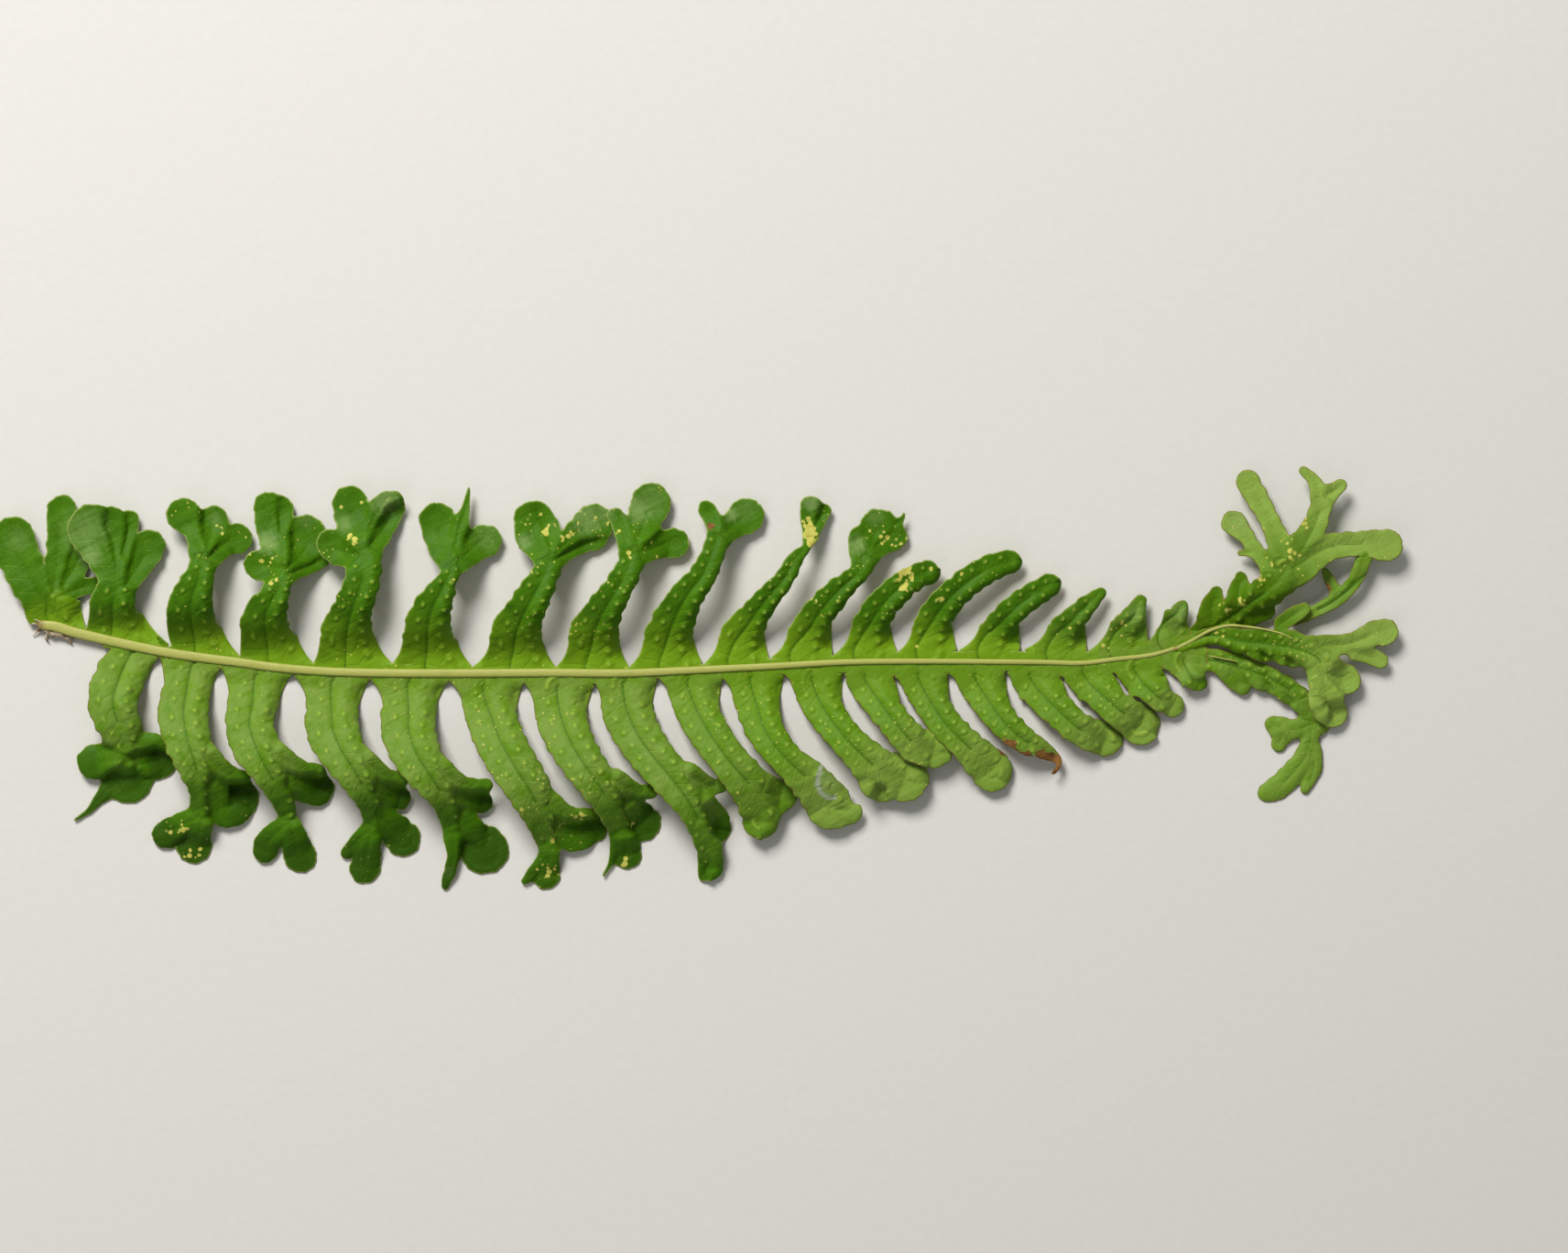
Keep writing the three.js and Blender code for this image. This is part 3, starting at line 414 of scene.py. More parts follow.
# The crest of the tip: its first, middle and last branch, and the strap that hangs back.
TIP_BRANCHES: list[Lobe] = [
    Lobe(root=1.3, peak=5, end=4.8, painted_light=1.6, fleck=0.9,
        spine=[(1290, 702, 9), (1330, 682, 14), (1362, 660, 16), (1388, 642, 18), (1405, 622, 22)],
        crest=[
            Finger(2.4, [(1324, 680, 18), (1323, 664, 13), (1328, 647, 7)]),
            Finger(3, [(1352, 660, 14), (1353, 643, 11), (1355, 631, 7)]),
            Finger(2.6, [(1365, 672, 12), (1384, 668, 8)]),
            Finger(2, [(1392, 622, 14), (1374, 604, 8), (1360, 585, 9), (1347, 571, 14)]),
            Finger(2, [(1366, 603, 4), (1354, 604, 3)]),
            Finger(2.4, [(1402, 605, 15), (1388, 572, 11), (1374, 546, 12), (1362, 526, 13)]),
            Finger(3.6, [(1422, 600, 18), (1437, 570, 13), (1444, 546, 12)]),
            Finger(3.2, [(1441, 540, 9), (1434, 524, 7), (1423, 514, 5)]),
            Finger(3, [(1450, 540, 10), (1464, 530, 7)]),
            Finger(3, [(1415, 618, 22), (1450, 598, 15), (1485, 594, 14), (1514, 595, 18)]),
        ]),
    Lobe(root=1.3, peak=4.6, end=3, painted_light=1.5, fleck=0.9,
        spine=[
            (1290, 706, 8), (1325, 694, 10), (1355, 700, 14), (1385, 703, 16), (1415, 708, 18),
            (1440, 720, 18), (1447, 750, 18), (1450, 775, 16),
        ],
        crest=[
            Finger(2.4, [(1375, 712, 10), (1382, 716, 6)]),
            Finger(2.4, [(1403, 718, 9), (1412, 723, 5)]),
            Finger(3, [(1400, 680, 9), (1415, 670, 9), (1424, 665, 7)]),
            Finger(2.2, [(1445, 705, 12), (1475, 702, 11), (1500, 692, 14), (1512, 690, 15)]),
            Finger(1.8, [(1480, 712, 9), (1500, 718, 9), (1507, 721, 9)]),
            Finger(2, [(1450, 735, 18), (1470, 742, 16)]),
            Finger(1, [(1447, 765, 18), (1457, 780, 14)]),
        ]),
    Lobe(root=1, peak=2, end=1.2, painted_light=0.2, fleck=0.8,
        spine=[
            (1290, 716, 12), (1330, 722, 13), (1370, 734, 12), (1400, 748, 12), (1425, 768, 13),
            (1437, 785, 14),
        ],
        crest=[
            Finger(1.2, [(1345, 730, 17), (1351, 743, 12), (1357, 751, 8)]),
            Finger(1, [(1378, 742, 12), (1388, 750, 7)]),
            Finger(0.8, [(1403, 757, 9), (1412, 765, 6)]),
            Finger(1, [(1440, 788, 13), (1415, 796, 11), (1400, 797, 13)]),
            Finger(0.8, [(1398, 793, 9), (1389, 790, 8)]),
            Finger(0.6, [(1400, 803, 9), (1396, 813, 8)]),
            Finger(0.5, [(1432, 795, 10), (1430, 810, 9), (1424, 828, 12), (1408, 848, 13), (1393, 861, 13),
                (1383, 865, 10)]),
            Finger(0.5, [(1432, 820, 11), (1434, 840, 9), (1425, 862, 5)]),
        ]),
    Lobe(root=3.2, peak=2.4, end=1.2, painted_light=1.2,
        spine=[(1490, 608, 9), (1478, 636, 8), (1458, 655, 8), (1436, 667, 7), (1415, 676, 7)],
        crest=[Finger(1.4, [(1460, 648, 6), (1452, 634, 6), (1447, 624, 4)])]),
]

TIP_FIRST, TIP_MIDDLE, TIP_LAST, TIP_STRAP = TIP_BRANCHES

# The ribs that run on into the middle branch of the tip: [x, y, half width in millimetres].
TIP_RIBS: list[list[Point]] = [
    [(1280, 710, 0.38), (1300, 700, 0.33), (1320, 689, 0.3), (1340, 683, 0.27), (1360, 684, 0.24),
     (1380, 687, 0.2), (1400, 692, 0.16), (1412, 698, 0.12)],
    [(1300, 714, 0.14), (1320, 716, 0.14), (1340, 720, 0.12), (1350, 722, 0.08)],
]

# Fibres torn out with the foot of the midrib: [x, y, height, half width], the last two in millimetres.
TORN_FIBRES: list[list[Spot]] = [
    [(46, 683, 1.1, 0.3), (38, 681, 1.2, 0.2), (32, 682, 1.0, 0.08)],
    [(46, 687, 0.8, 0.25), (40, 690, 0.6, 0.16), (36, 695, 0.3, 0.06)],
    [(48, 688, 0.9, 0.25), (60, 693, 1.0, 0.2), (72, 696, 0.9, 0.16), (85, 697, 0.8, 0.06)],
    [(44, 680, 1.3, 0.22), (40, 677, 1.4, 0.12), (35, 676, 1.2, 0.05)],
    [(47, 685, 1.0, 0.3), (54, 691, 1.0, 0.42), (61, 694, 0.8, 0.3), (66, 693, 0.7, 0.1)],
    [(58, 689, 1.0, 0.3), (68, 694, 0.9, 0.34), (76, 700, 0.6, 0.2), (79, 704, 0.4, 0.06)],
    [(52, 690, 0.7, 0.2), (50, 697, 0.5, 0.18), (54, 702, 0.4, 0.06)],
]

# Where the blade is marked, and where painted sheen lies on it: [x, y, radius, strength] of soft spots.
SPOTS_AND_SHEEN: dict[Kind, list[Spot]] = {
    Kind.DRY: [
        (1100, 816, 10, 1), (1118, 828, 9, 1), (1138, 829, 10, 1), (1153, 834, 12, 1), (776, 574, 4, 0.8),
        (1449, 641, 6, 0.5), (70, 693, 8, 0.5), (560, 552, 3, 0.5),
    ],
    Kind.FLECK: [
        (242, 578, 7, 1), (262, 578, 5, 0.8), (270, 586, 4, 0.6), (270, 606, 6, 0.9), (290, 606, 12, 0.8),
        (274, 624, 5, 0.8), (297, 634, 7, 0.8), (347, 590, 6, 1), (386, 587, 8, 0.8), (373, 553, 4, 0.8),
        (395, 549, 5, 0.7), (486, 557, 4, 0.8), (497, 632, 5, 0.8), (575, 566, 8, 0.7), (586, 562, 5, 0.8),
        (603, 569, 6, 0.9), (596, 582, 5, 1), (620, 584, 9, 1), (632, 578, 6, 1), (650, 567, 4, 0.8),
        (661, 574, 5, 0.8), (683, 608, 9, 1), (676, 580, 5, 0.7), (712, 588, 6, 0.7), (715, 609, 7, 0.6),
        (799, 676, 5, 1), (881, 570, 6, 2), (884, 582, 9, 2.2), (887, 592, 7, 2.2), (888, 656, 6, 0.8),
        (948, 582, 8, 0.7), (965, 588, 8, 0.8), (985, 590, 7, 1), (975, 597, 6, 0.7), (989, 628, 10, 1.5),
        (985, 640, 8, 1.5), (350, 570, 4, 0.7), (1019, 621, 5, 1), (1029, 650, 8, 0.9), (1051, 628, 5, 0.7),
        (1068, 617, 5, 0.7), (1000, 702, 6, 0.8), (1168, 690, 8, 0.6), (1206, 703, 6, 0.8),
        (1222, 685, 9, 0.8), (1372, 632, 11, 1), (1384, 612, 8, 0.9), (1412, 604, 9, 0.9),
        (1426, 572, 8, 0.8), (1404, 588, 7, 0.8), (1356, 655, 9, 0.9), (1338, 662, 7, 0.8),
        (1332, 690, 8, 0.8), (200, 903, 8, 0.9), (184, 908, 5, 0.8), (212, 934, 11, 1), (425, 926, 5, 0.8),
        (570, 885, 5, 0.8), (580, 900, 7, 0.8), (602, 917, 7, 1), (632, 892, 6, 0.7), (597, 950, 12, 0.8),
        (668, 876, 5, 0.8), (684, 942, 9, 1), (690, 900, 6, 0.6), (453, 843, 9, 0.7), (465, 822, 8, 0.7),
        (806, 868, 6, 0.8),
    ],
    Kind.SILVER: [
        (897, 837, 3, 0.9), (896, 841, 3, 0.9), (894, 845, 3, 0.9), (893, 849, 3, 0.9), (892, 853, 3, 0.9),
        (893, 857, 3, 0.9), (894, 861, 3, 0.9), (896, 865, 3, 0.9), (899, 868, 3, 0.9), (903, 870, 3, 0.9),
        (907, 871, 3, 0.9), (911, 871, 3, 0.9),
    ],
    # Painted sheen: milky pale patches where the blade tilts towards the light.
    Kind.HAZE: [
        (92, 580, 24, 0.55), (98, 606, 12, 0.8), (292, 592, 12, 0.8), (335, 568, 10, 0.3),
        (420, 546, 15, 0.9), (376, 572, 9, 0.5), (532, 585, 16, 0.35), (572, 592, 8, 0.7),
        (640, 565, 18, 0.8), (660, 560, 12, 0.6), (696, 556, 15, 0.8), (712, 545, 16, 0.4),
        (799, 562, 8, 0.9), (815, 556, 12, 0.3), (885, 549, 9, 1), (935, 595, 10, 0.8), (955, 564, 10, 0.4),
        (235, 566, 8, 0.4), (20, 590, 14, 0.3), (1290, 668, 10, 0.6), (1240, 668, 12, 0.4),
        (1352, 570, 14, 0.5), (490, 952, 6, 0.9), (904, 852, 13, 0.7),
    ],
}


def on_frame(points: np.ndarray) -> np.ndarray:
    """Turns [x, y] on the ruled sheet into millimetres in the frame.

    Args:
        points: rows of x and y, in the sheet's own rule.

    Returns:
        Rows of x and y in millimetres.
    """
    return (np.asarray(points, float) - DATUM) * (RULE, -RULE)


def smooth_line(points: np.ndarray, per_side: int = 8) -> np.ndarray:
    """Draws a smooth line through points: a Catmull-Rom spline, column by column.

    Args:
        points: rows to pass through, with any number of columns.
        per_side: samples on each stretch between two rows.

    Returns:
        The rows of the line, the given ones among them.
    """
    p = np.asarray(points, float)
    ends = np.vstack([2 * p[0] - p[1], p, 2 * p[-1] - p[-2]])
    t = np.linspace(0, 1, per_side, endpoint=False)[None, :, None]
    a, b, c, d = (ends[i:len(ends) - 3 + i, None, :] for i in range(4))
    curve = 0.5 * (2 * b + (c - a) * t + (2 * a - 5 * b + 4 * c - d) * t ** 2
                   + (3 * b - a - 3 * c + d) * t ** 3)
    return np.vstack([curve.reshape(-1, p.shape[1]), p[-1:]])


def smoothstep(value: np.ndarray, low: float, high: float) -> np.ndarray:
    """Rises from 0 at low to 1 at high, level at both ends."""
    t = np.clip((value - low) / (high - low), 0, 1)
    return t * t * (3 - 2 * t)


def drawn_in(points: np.ndarray) -> np.ndarray:
    """Moves points towards the line under the camera by as much as their height spreads them in its view.

    The sheet is ruled as the camera sees the floor, so a point at a height stands nearer to the middle.

    Args:
        points: rows of x, y and z in millimetres.

    Returns:
        The rows, moved level.
    """
    middle = on_frame(np.array([SHEET_SIZE]) / 2)
    share = 1 - points[:, 2:] * METRES / CAMERA_HEIGHT
    return np.column_stack([middle + (points[:, :2] - middle) * share, points[:, 2]])


def lumps(x: np.ndarray, y: np.ndarray, wave: float, seed: float = 0.0) -> np.ndarray:
    """A gentle unevenness between about -1 and 1: four sine waves that cross at odd angles.

    Args:
        x, y: places in millimetres.
        wave: the mean wavelength in millimetres.
        seed: shifts the pattern.

    Returns:
        The unevenness at each place.
    """
    k = 2 * math.pi / wave
    return 0.3 * (np.sin(k * (0.94 * x + 0.35 * y) + seed) + np.sin(k * (0.41 * x - 1.03 * y) + 2.1 * seed)
                  + np.sin(k * (1.27 * x + 0.81 * y) + 3.7 * seed)
                  + np.sin(k * (-0.73 * x + 1.31 * y) + 5.3 * seed))


def arch(root: float, peak: float, end: float) -> Callable[[np.ndarray], np.ndarray]:
    """The height of a lobe's axis: a rise from root to peak, then a cosine fall to end.

    The rise is a quarter of a sine, raised to a power so that it sets out gently.

    Args:
        root: the height at the midrib.
        peak: the greatest height.
        end: the height at the axis' end.

    Returns:
        A function that gives the heights at an array of shares of the length.
    """

    def height(u: np.ndarray) -> np.ndarray:
        """The heights along the axis.

        Args:
            u: shares of the length.

        Returns:
            The height at each share.
        """
        rise = root + (peak - root) * np.sin(math.pi / 2 * np.minimum(u / PEAK_AT, 1)) ** RISE_POWER
        fall = (end - peak) * (1 - np.cos(math.pi / 2 * np.clip((u - PEAK_AT) / (1 - PEAK_AT), 0, 1)))
        return rise + fall

    return height


def bowed(first: float, tip: float, bow: float) -> Callable[[np.ndarray], np.ndarray]:
    """The height of a finger's axis: from first to tip as the first bow radians of a sine rise.

    Args:
        first: the height at its root.
        tip: the height at its end.
        bow: how much of the sine is used, in radians.

    Returns:
        A function that gives the heights at an array of shares of the length.
    """

    def height(u: np.ndarray) -> np.ndarray:
        """The heights at shares u of the length."""
        return first + (tip - first) * np.sin(bow * u) / math.sin(bow)

    return height


@dataclass
class Reading:
    """What the strokes say of each place, as arrays of one value a place.

    They are the distance outside the outline, the axis' height and how far the blade bends off it, the
    distance along the stroke and off its axis, the distance from the midrib along the lobe, how far east
    the place lies across the stroke, and the distances to a vein and to a sorus.
    """

    edge: np.ndarray
    height: np.ndarray
    bend: np.ndarray
    run: np.ndarray
    off: np.ndarray
    share: np.ndarray
    east: np.ndarray
    vein: np.ndarray
    sorus: np.ndarray


class Stroke:
    """A tapering stroke of blade: a smooth line with a half width and a height along it.

    Its margin runs in and out by shares of the half width: a wave along it, broad lumps and finer teeth.
    Its vein reaches the axis over VEIN_BEND and dies out past the share VEIN_ENDS_AT of the length. A
    place inside a sharp bend counts as no nearer to its centre than the share SHARPEST_SLACK allows.
    """

    LEAST_HALF_WIDTH = 0.08
    SHARPEST_SLACK = 0.35
    MARGIN_WAVE = 0.035
    MARGIN_WAVE_LENGTH = 2.7
    MARGIN_LUMPS = 0.05
    MARGIN_TEETH = 0.03
    VEIN_BEND = 3.4
    VEIN_ENDS_AT = 0.75
    SORUS_PITCH = 2.6

    def __init__(
        self,
        points: Sequence[Point],
        height_at: Callable[[np.ndarray], np.ndarray],
        start: float,
        seed: float,
        vein_shift: float = 0.0,
    ) -> None:
        """Lays the stroke out.

        Args:
            points: [x, y, half width] on the sheet.
            height_at: the axis' height for an array of shares of the length.
            start: how far from the midrib the stroke begins, along the lobe.
            seed: sets the waves of the margin and the scatter of the sori.
            vein_shift: how far left of the axis the vein leaves the midrib.
        """
        line = smooth_line(np.array(points, float))
        self.xy = on_frame(line[:, :2])
        self.radius = np.maximum(line[:, 2] * RULE, self.LEAST_HALF_WIDTH)
        steps = np.hypot(*np.diff(self.xy, axis=0).T)
        self.run = np.concatenate([[0.0], np.cumsum(steps)])
        self.height = height_at(self.run / self.run[-1])
        tangent = np.gradient(self.xy, self.run, axis=0)
        self.tangent = tangent / np.linalg.norm(tangent, axis=1, keepdims=True)
        turn = np.gradient(self.tangent, self.run, axis=0)
        self.curvature = self.tangent[:, 0] * turn[:, 1] - self.tangent[:, 1] * turn[:, 0]
        self.widening = np.gradient(self.radius, self.run)
        self.spacing = 0.75 * np.gradient(self.run)
        self.start = start
        self.length = self.run[-1]
        self.seed = seed
        self.vein_shift = vein_shift

    def read(self, places: np.ndarray) -> dict[str, np.ndarray]:
        """Finds the nearest point of the stroke to each place.

        The distance along is taken from the nearest vertex of the line, by its tangent, its curvature
        and the rate at which the stroke widens there, so that it has no steps.

        Args:
            places: rows of x and y in millimetres.

        Returns:
            The distance outside the stroke's edge, and the axis height, distance along, signed
            distance off the axis (left is positive) and half width at the nearest point.
        """
        a, d = self.xy[:-1], np.diff(self.xy, axis=0)
        rel = places[:, None, :] - a
        t = np.clip((rel * d).sum(-1) / (d * d).sum(-1), 0, 1)
        gap = rel - t[..., None] * d
        off = np.hypot(gap[..., 0], gap[..., 1])
        radius = self.radius[:-1] + t * np.diff(self.radius)
        n = (off - radius).argmin(1)
        rows = np.arange(len(places))
        t, off, radius = t[rows, n], off[rows, n], radius[rows, n]
        left = np.sign(d[n, 0] * rel[rows, n, 1] - d[n, 1] * rel[rows, n, 0])
        v = n + (t > 0.5)
        ahead = places - self.xy[v]
        slack = np.maximum(1 - self.curvature[v] * off * left, self.SHARPEST_SLACK)
        step = ((ahead * self.tangent[v]).sum(-1) + self.widening[v] * off) / slack
        step = np.clip(step, -self.spacing[v], self.spacing[v])
        run = np.clip(self.run[v] + step, 0, self.run[-1])
        x, y = places.T
        turn = 2 * math.pi * run / self.MARGIN_WAVE_LENGTH + self.seed + 1.3 * left
        wave = self.MARGIN_WAVE * np.sin(turn) * smoothstep(run, 2.0, 5.0)
        wave = wave + self.MARGIN_LUMPS * lumps(x, y, 3.1, self.seed)
        wave = wave + self.MARGIN_TEETH * lumps(x, y, 1.5, self.seed)
        return {
            "edge": off - radius - wave * np.minimum(radius, 3.0),
            "axis": np.interp(run, self.run, self.height),
            "run": run,
            "off": off * left,
            "radius": radius,
        }

    def vein(self, run: np.ndarray, off: np.ndarray) -> np.ndarray:
        """The distance from the stroke's vein, which bends to the axis a little way from the midrib.

        Args:
            run: the distance along the stroke at each place.
            off: the signed distance off its axis.

        Returns:
            The distance, which grows past the point where the vein dies out.
        """
        fade = np.exp(-(run / self.VEIN_BEND) ** 2)
        beyond = np.maximum(0.9 * (run - self.VEIN_ENDS_AT * self.length), 0)
        return np.hypot(off - self.vein_shift * fade, beyond)

    def sorus(self, run: np.ndarray, off: np.ndarray, radius: np.ndarray) -> np.ndarray:
        """The distance to the nearest sorus: one row either side of the vein, half way to the margin.

        Each sorus is nudged from its even place by a sine of its own number, some are left small and
        none stands where the stroke is narrow.

        Args:
            run: the distance along the stroke at each place.
            off: the signed distance off its axis.
            radius: its half width there.

        Returns:
            The distance.
        """
        left = np.sign(off)
        pitch = self.SORUS_PITCH
        phase = 0.35 * pitch * left + self.seed % pitch
        number = np.round((run - phase) / pitch)
        nudge = np.sin(12.9 * number + 7.7 * left + self.seed)
        along = run - phase - number * pitch - 0.35 * nudge
        across = np.abs(off) - (0.5 + 0.07 * np.sin(5.1 * number + self.seed)) * radius
        narrow = 1.5 * smoothstep(-radius, -1.7, -1.2)
        return np.hypot(along, across) + narrow + 0.5 * smoothstep(np.sin(31.0 * number + left), 0.6, 0.9)


class LobeShape:
    """A lobe's strokes, flowing together: its outline and its height as functions of the place.

    Each side of the frond has its own VEIN_SHIFT at the midrib, and its own BOW and CUP of the fingers.
    FINGER_VEIN and FINGER_SORUS are added to a finger's distances, to make its veins and bumps fainter.
    """

    VEIN_SHIFT = {Side.UP: 2.7, Side.DOWN: -0.7}
    BOW = {Side.UP: math.pi / 2, Side.DOWN: math.pi / 6}
    CUP = {Side.UP: 0.1, Side.DOWN: -0.22}
    FINGER_VEIN = 0.14
    FINGER_SORUS = 1.2

    def __init__(self, lobe: Lobe, side: Side, seed: float) -> None:
        """Lays out the spine, then each finger from the height of what it grows out of.

        Args:
            lobe: the drawing.
            side: the side of the midrib that it grows on.
            seed: sets the waves and the scatter.
        """
        self.lobe = lobe
        self.side = side
        self.seed = seed
        peak = lobe.peak if side is Side.DOWN else lobe.end + 0.75 * (lobe.peak - lobe.end)
        spine = Stroke(lobe.spine, arch(lobe.root, peak, lobe.end), 0.0, seed, self.VEIN_SHIFT[side])
        self.strokes = [spine]
        for n, finger in enumerate(lobe.crest):
            at = self.read(on_frame([finger.at[0][:2]]))
            height = bowed(at.height[0] - finger.sink, finger.tip, self.BOW[side])
            self.strokes.append(Stroke(finger.at, height, at.share[0], seed + 1.7 * (n + 1)))
        self.length = max(s.start + s.length for s in self.strokes)
        xy = np.vstack([s.xy for s in self.strokes])
        reach = max(s.radius.max() for s in self.strokes) + 1.0
        self.low, self.high = xy.min(0) - reach, xy.max(0) + reach

    def section(self, r: dict[str, np.ndarray], spine: bool) -> np.ndarray:
        """The cross-section's height over the axis.

        East is the side towards the frond's tip. There the spine swells and then turns down at the
        margin, and on the west side it rises a little to a sharp edge, or falls in the lower row. A
        finger is cupped in the upper row and drooping in the lower. All margins ripple.

        Args:
            r: a stroke's reading.
            spine: true for the spine, false for a finger.

        Returns:
            The height at each place.
        """
        east = -self.side * np.clip(r["off"] / r["radius"], -1.15, 1.15)
        near, far = np.maximum(-east, 0), np.maximum(east, 0)
        if spine:
            raised = -0.04 * near ** 2
            if self.side is Side.UP:
                raised = 0.13 * near * smoothstep(r["run"], 2.0, 8.0)
            curve = raised + 0.1 * np.sin(math.pi * np.minimum(far, 1)) - 0.3 * far ** 3
        else:
            curve = self.CUP[self.side] * east * east
        turn = 2 * math.pi * r["run"] / 4.6 + self.seed + 1.9 * np.sign(east)
        ripple = 0.16 * np.abs(east) ** 3 * np.sin(turn)
        return r["radius"] * curve + ripple * np.minimum(r["radius"] / 3, 1)

    def read(self, places: np.ndarray) -> Reading:
        """Reads all strokes and lets them flow together.

        The outline is a soft minimum of the strokes' edges. The height and the bend are their means,
        each stroke with the weight exp(-edge / BLEND).

        Args:
            places: rows of x and y in millimetres.

        Returns:
            The reading at the places.
        """
        reads = [stroke.read(places) for stroke in self.strokes]
        edges = np.array([r["edge"] for r in reads])
        weights = np.exp(-np.clip(edges, -20, 20) / BLEND)
        total = weights.sum(0)
        heights, bends, veins, sori = [], [], [], []
        for stroke, r in zip(self.strokes, reads):
            spine = stroke is self.strokes[0]
            heights.append(r["axis"])
            bends.append(self.section(r, spine))
            vein = stroke.vein(r["run"], r["off"])
            veins.append(vein if spine else vein + self.FINGER_VEIN)
            sorus = stroke.sorus(r["run"], r["off"], r["radius"])
            sori.append(sorus if spine else sorus + self.FINGER_SORUS)
        first = edges.argmin(0)
        rows = np.arange(len(places))
        pick = {key: np.array([r[key] for r in reads])[first, rows] for key in ("run", "off", "radius")}
        start = np.array([s.start for s in self.strokes])[first]
        return Reading(
            edge=-BLEND * np.log(total),
            height=(weights * np.array(heights)).sum(0) / total,
            bend=(weights * np.array(bends)).sum(0) / total,
            run=pick["run"],
            off=pick["off"],
            share=start + pick["run"],
            east=-self.side * np.clip(pick["off"] / pick["radius"], -1.2, 1.2),
            vein=np.array(veins).min(0),
            sorus=np.array(sori)[first, rows],
        )


@dataclass
class Window:
    """A rectangle of the lattice: the indices of its first node and the edge distance at each node."""

    column: int
    row: int
    edge: np.ndarray

    def places(self) -> np.ndarray:
        """Lists the window's nodes.

        Returns:
            Rows of x and y in millimetres, row by row of the lattice.
        """
        rows, columns = self.edge.shape
        x = (self.column + np.arange(columns)) * LATTICE
        y = (self.row + np.arange(rows)) * LATTICE
        return np.stack(np.broadcast_arrays(x[None, :], y[:, None]), -1).reshape(-1, 2)


def window_over(low: np.ndarray, high: np.ndarray) -> Window:
    """Lays an empty window of lattice nodes over a box.

    Args:
        low: the box's lowest x and y.
        high: its highest x and y.

    Returns:
        The window, with FAR at every node.
    """
    column, row = np.floor(np.asarray(low) / LATTICE).astype(int)
    columns, rows = np.ceil(np.asarray(high) / LATTICE).astype(int) - (column, row) + 1
    return Window(column, row, np.full((rows, columns), FAR))


def node_key(column: np.ndarray, row: np.ndarray, kind: int) -> np.ndarray:
    """One number for a node (kind 0) or for the cut on its side along x (1) or along y (2)."""
    return ((row + OFFSET) * STRIDE + column + OFFSET) * 3 + kind


def trim(window: Window, wanted: np.ndarray) -> Surface:
    """Cuts the lattice to where the edge distance is below zero.

    Nodes close to the outline are moved onto it along the slope of the distance. Each cell then keeps
    the polygon of its inner corners and of the cuts on its sides.

    Args:
        window: the nodes and their edge distances.
        wanted: true for each cell that may be kept.

    Returns:
        Triangles as rows of three keys, and the sorted keys with their x and y.
    """
    f = window.edge
    slope_y, slope_x = np.gradient(f, LATTICE)
    steep = np.maximum(np.hypot(slope_x, slope_y), 0.2)
    close = np.abs(f) < SNAP * LATTICE * steep
    rows, columns = np.indices(f.shape)
    x = (window.column + columns) * LATTICE - np.where(close, f * slope_x / steep ** 2, 0)
    y = (window.row + rows) * LATTICE - np.where(close, f * slope_y / steep ** 2, 0)
    value = np.where(close, 0.0, f)
    inside = value <= 0

    own = node_key(window.column + columns, window.row + rows, 0)

    def cuts(kind: int) -> Surface:
        """Finds where the outline cuts the lattice's lines, with the edge distance taken as straight.

        Args:
            kind: 1 for the lines along x, 2 for those along y.

        Returns:
            The key, the x and the y of each cut.
        """
        near = (slice(None), slice(None, -1)) if kind == 1 else (slice(None, -1), slice(None))
        far = (slice(None), slice(1, None)) if kind == 1 else (slice(1, None), slice(None))
        gap = value[near] - value[far]
        t = value[near] / np.where(np.abs(gap) < 1e-9, 1.0, gap)
        key = node_key(window.column + columns[near], window.row + rows[near], kind)
        key = np.where(value[near] == 0, own[near], np.where(value[far] == 0, own[far], key))
        return key, x[near] + t * (x[far] - x[near]), y[near] + t * (y[far] - y[near])

    along_x, cut_x_x, cut_x_y = cuts(1)
    along_y, cut_y_x, cut_y_y = cuts(2)
    corners = [own[:-1, :-1], own[:-1, 1:], own[1:, 1:], own[1:, :-1]]
    sides = [along_x[:-1, :], along_y[:, 1:], along_x[1:, :], along_y[:, :-1]]
    flags = [inside[:-1, :-1], inside[:-1, 1:], inside[1:, 1:], inside[1:, :-1]]
    case = sum(flag.astype(int) << k for k, flag in enumerate(flags))
    triangles = []
    for number in range(1, 16):
        polygon = []
        for k in range(4):
            here, there = number >> k & 1, number >> (k + 1) % 4 & 1
            polygon += [corners[k]] if here else []
            polygon += [sides[k]] if here != there else []
        cells = (case == number) & wanted
        ring = [grid[cells] for grid in polygon]
        triangles += [np.stack([ring[0], ring[k], ring[k + 1]], 1) for k in range(1, len(ring) - 1)]
    faces = np.vstack(triangles)
    whole = (faces[:, 0] != faces[:, 1]) & (faces[:, 1] != faces[:, 2]) & (faces[:, 2] != faces[:, 0])
    faces = faces[whole]

    keys = np.concatenate([own.ravel(), along_x.ravel(), along_y.ravel()])
    px = np.concatenate([x.ravel(), cut_x_x.ravel(), cut_y_x.ravel()])
    py = np.concatenate([y.ravel(), cut_x_y.ravel(), cut_y_y.ravel()])
    used = np.unique(faces)
    known, first = np.unique(keys, return_index=True)
    at = first[np.searchsorted(known, used)]
    return faces, used, np.stack([px[at], py[at]], 1)


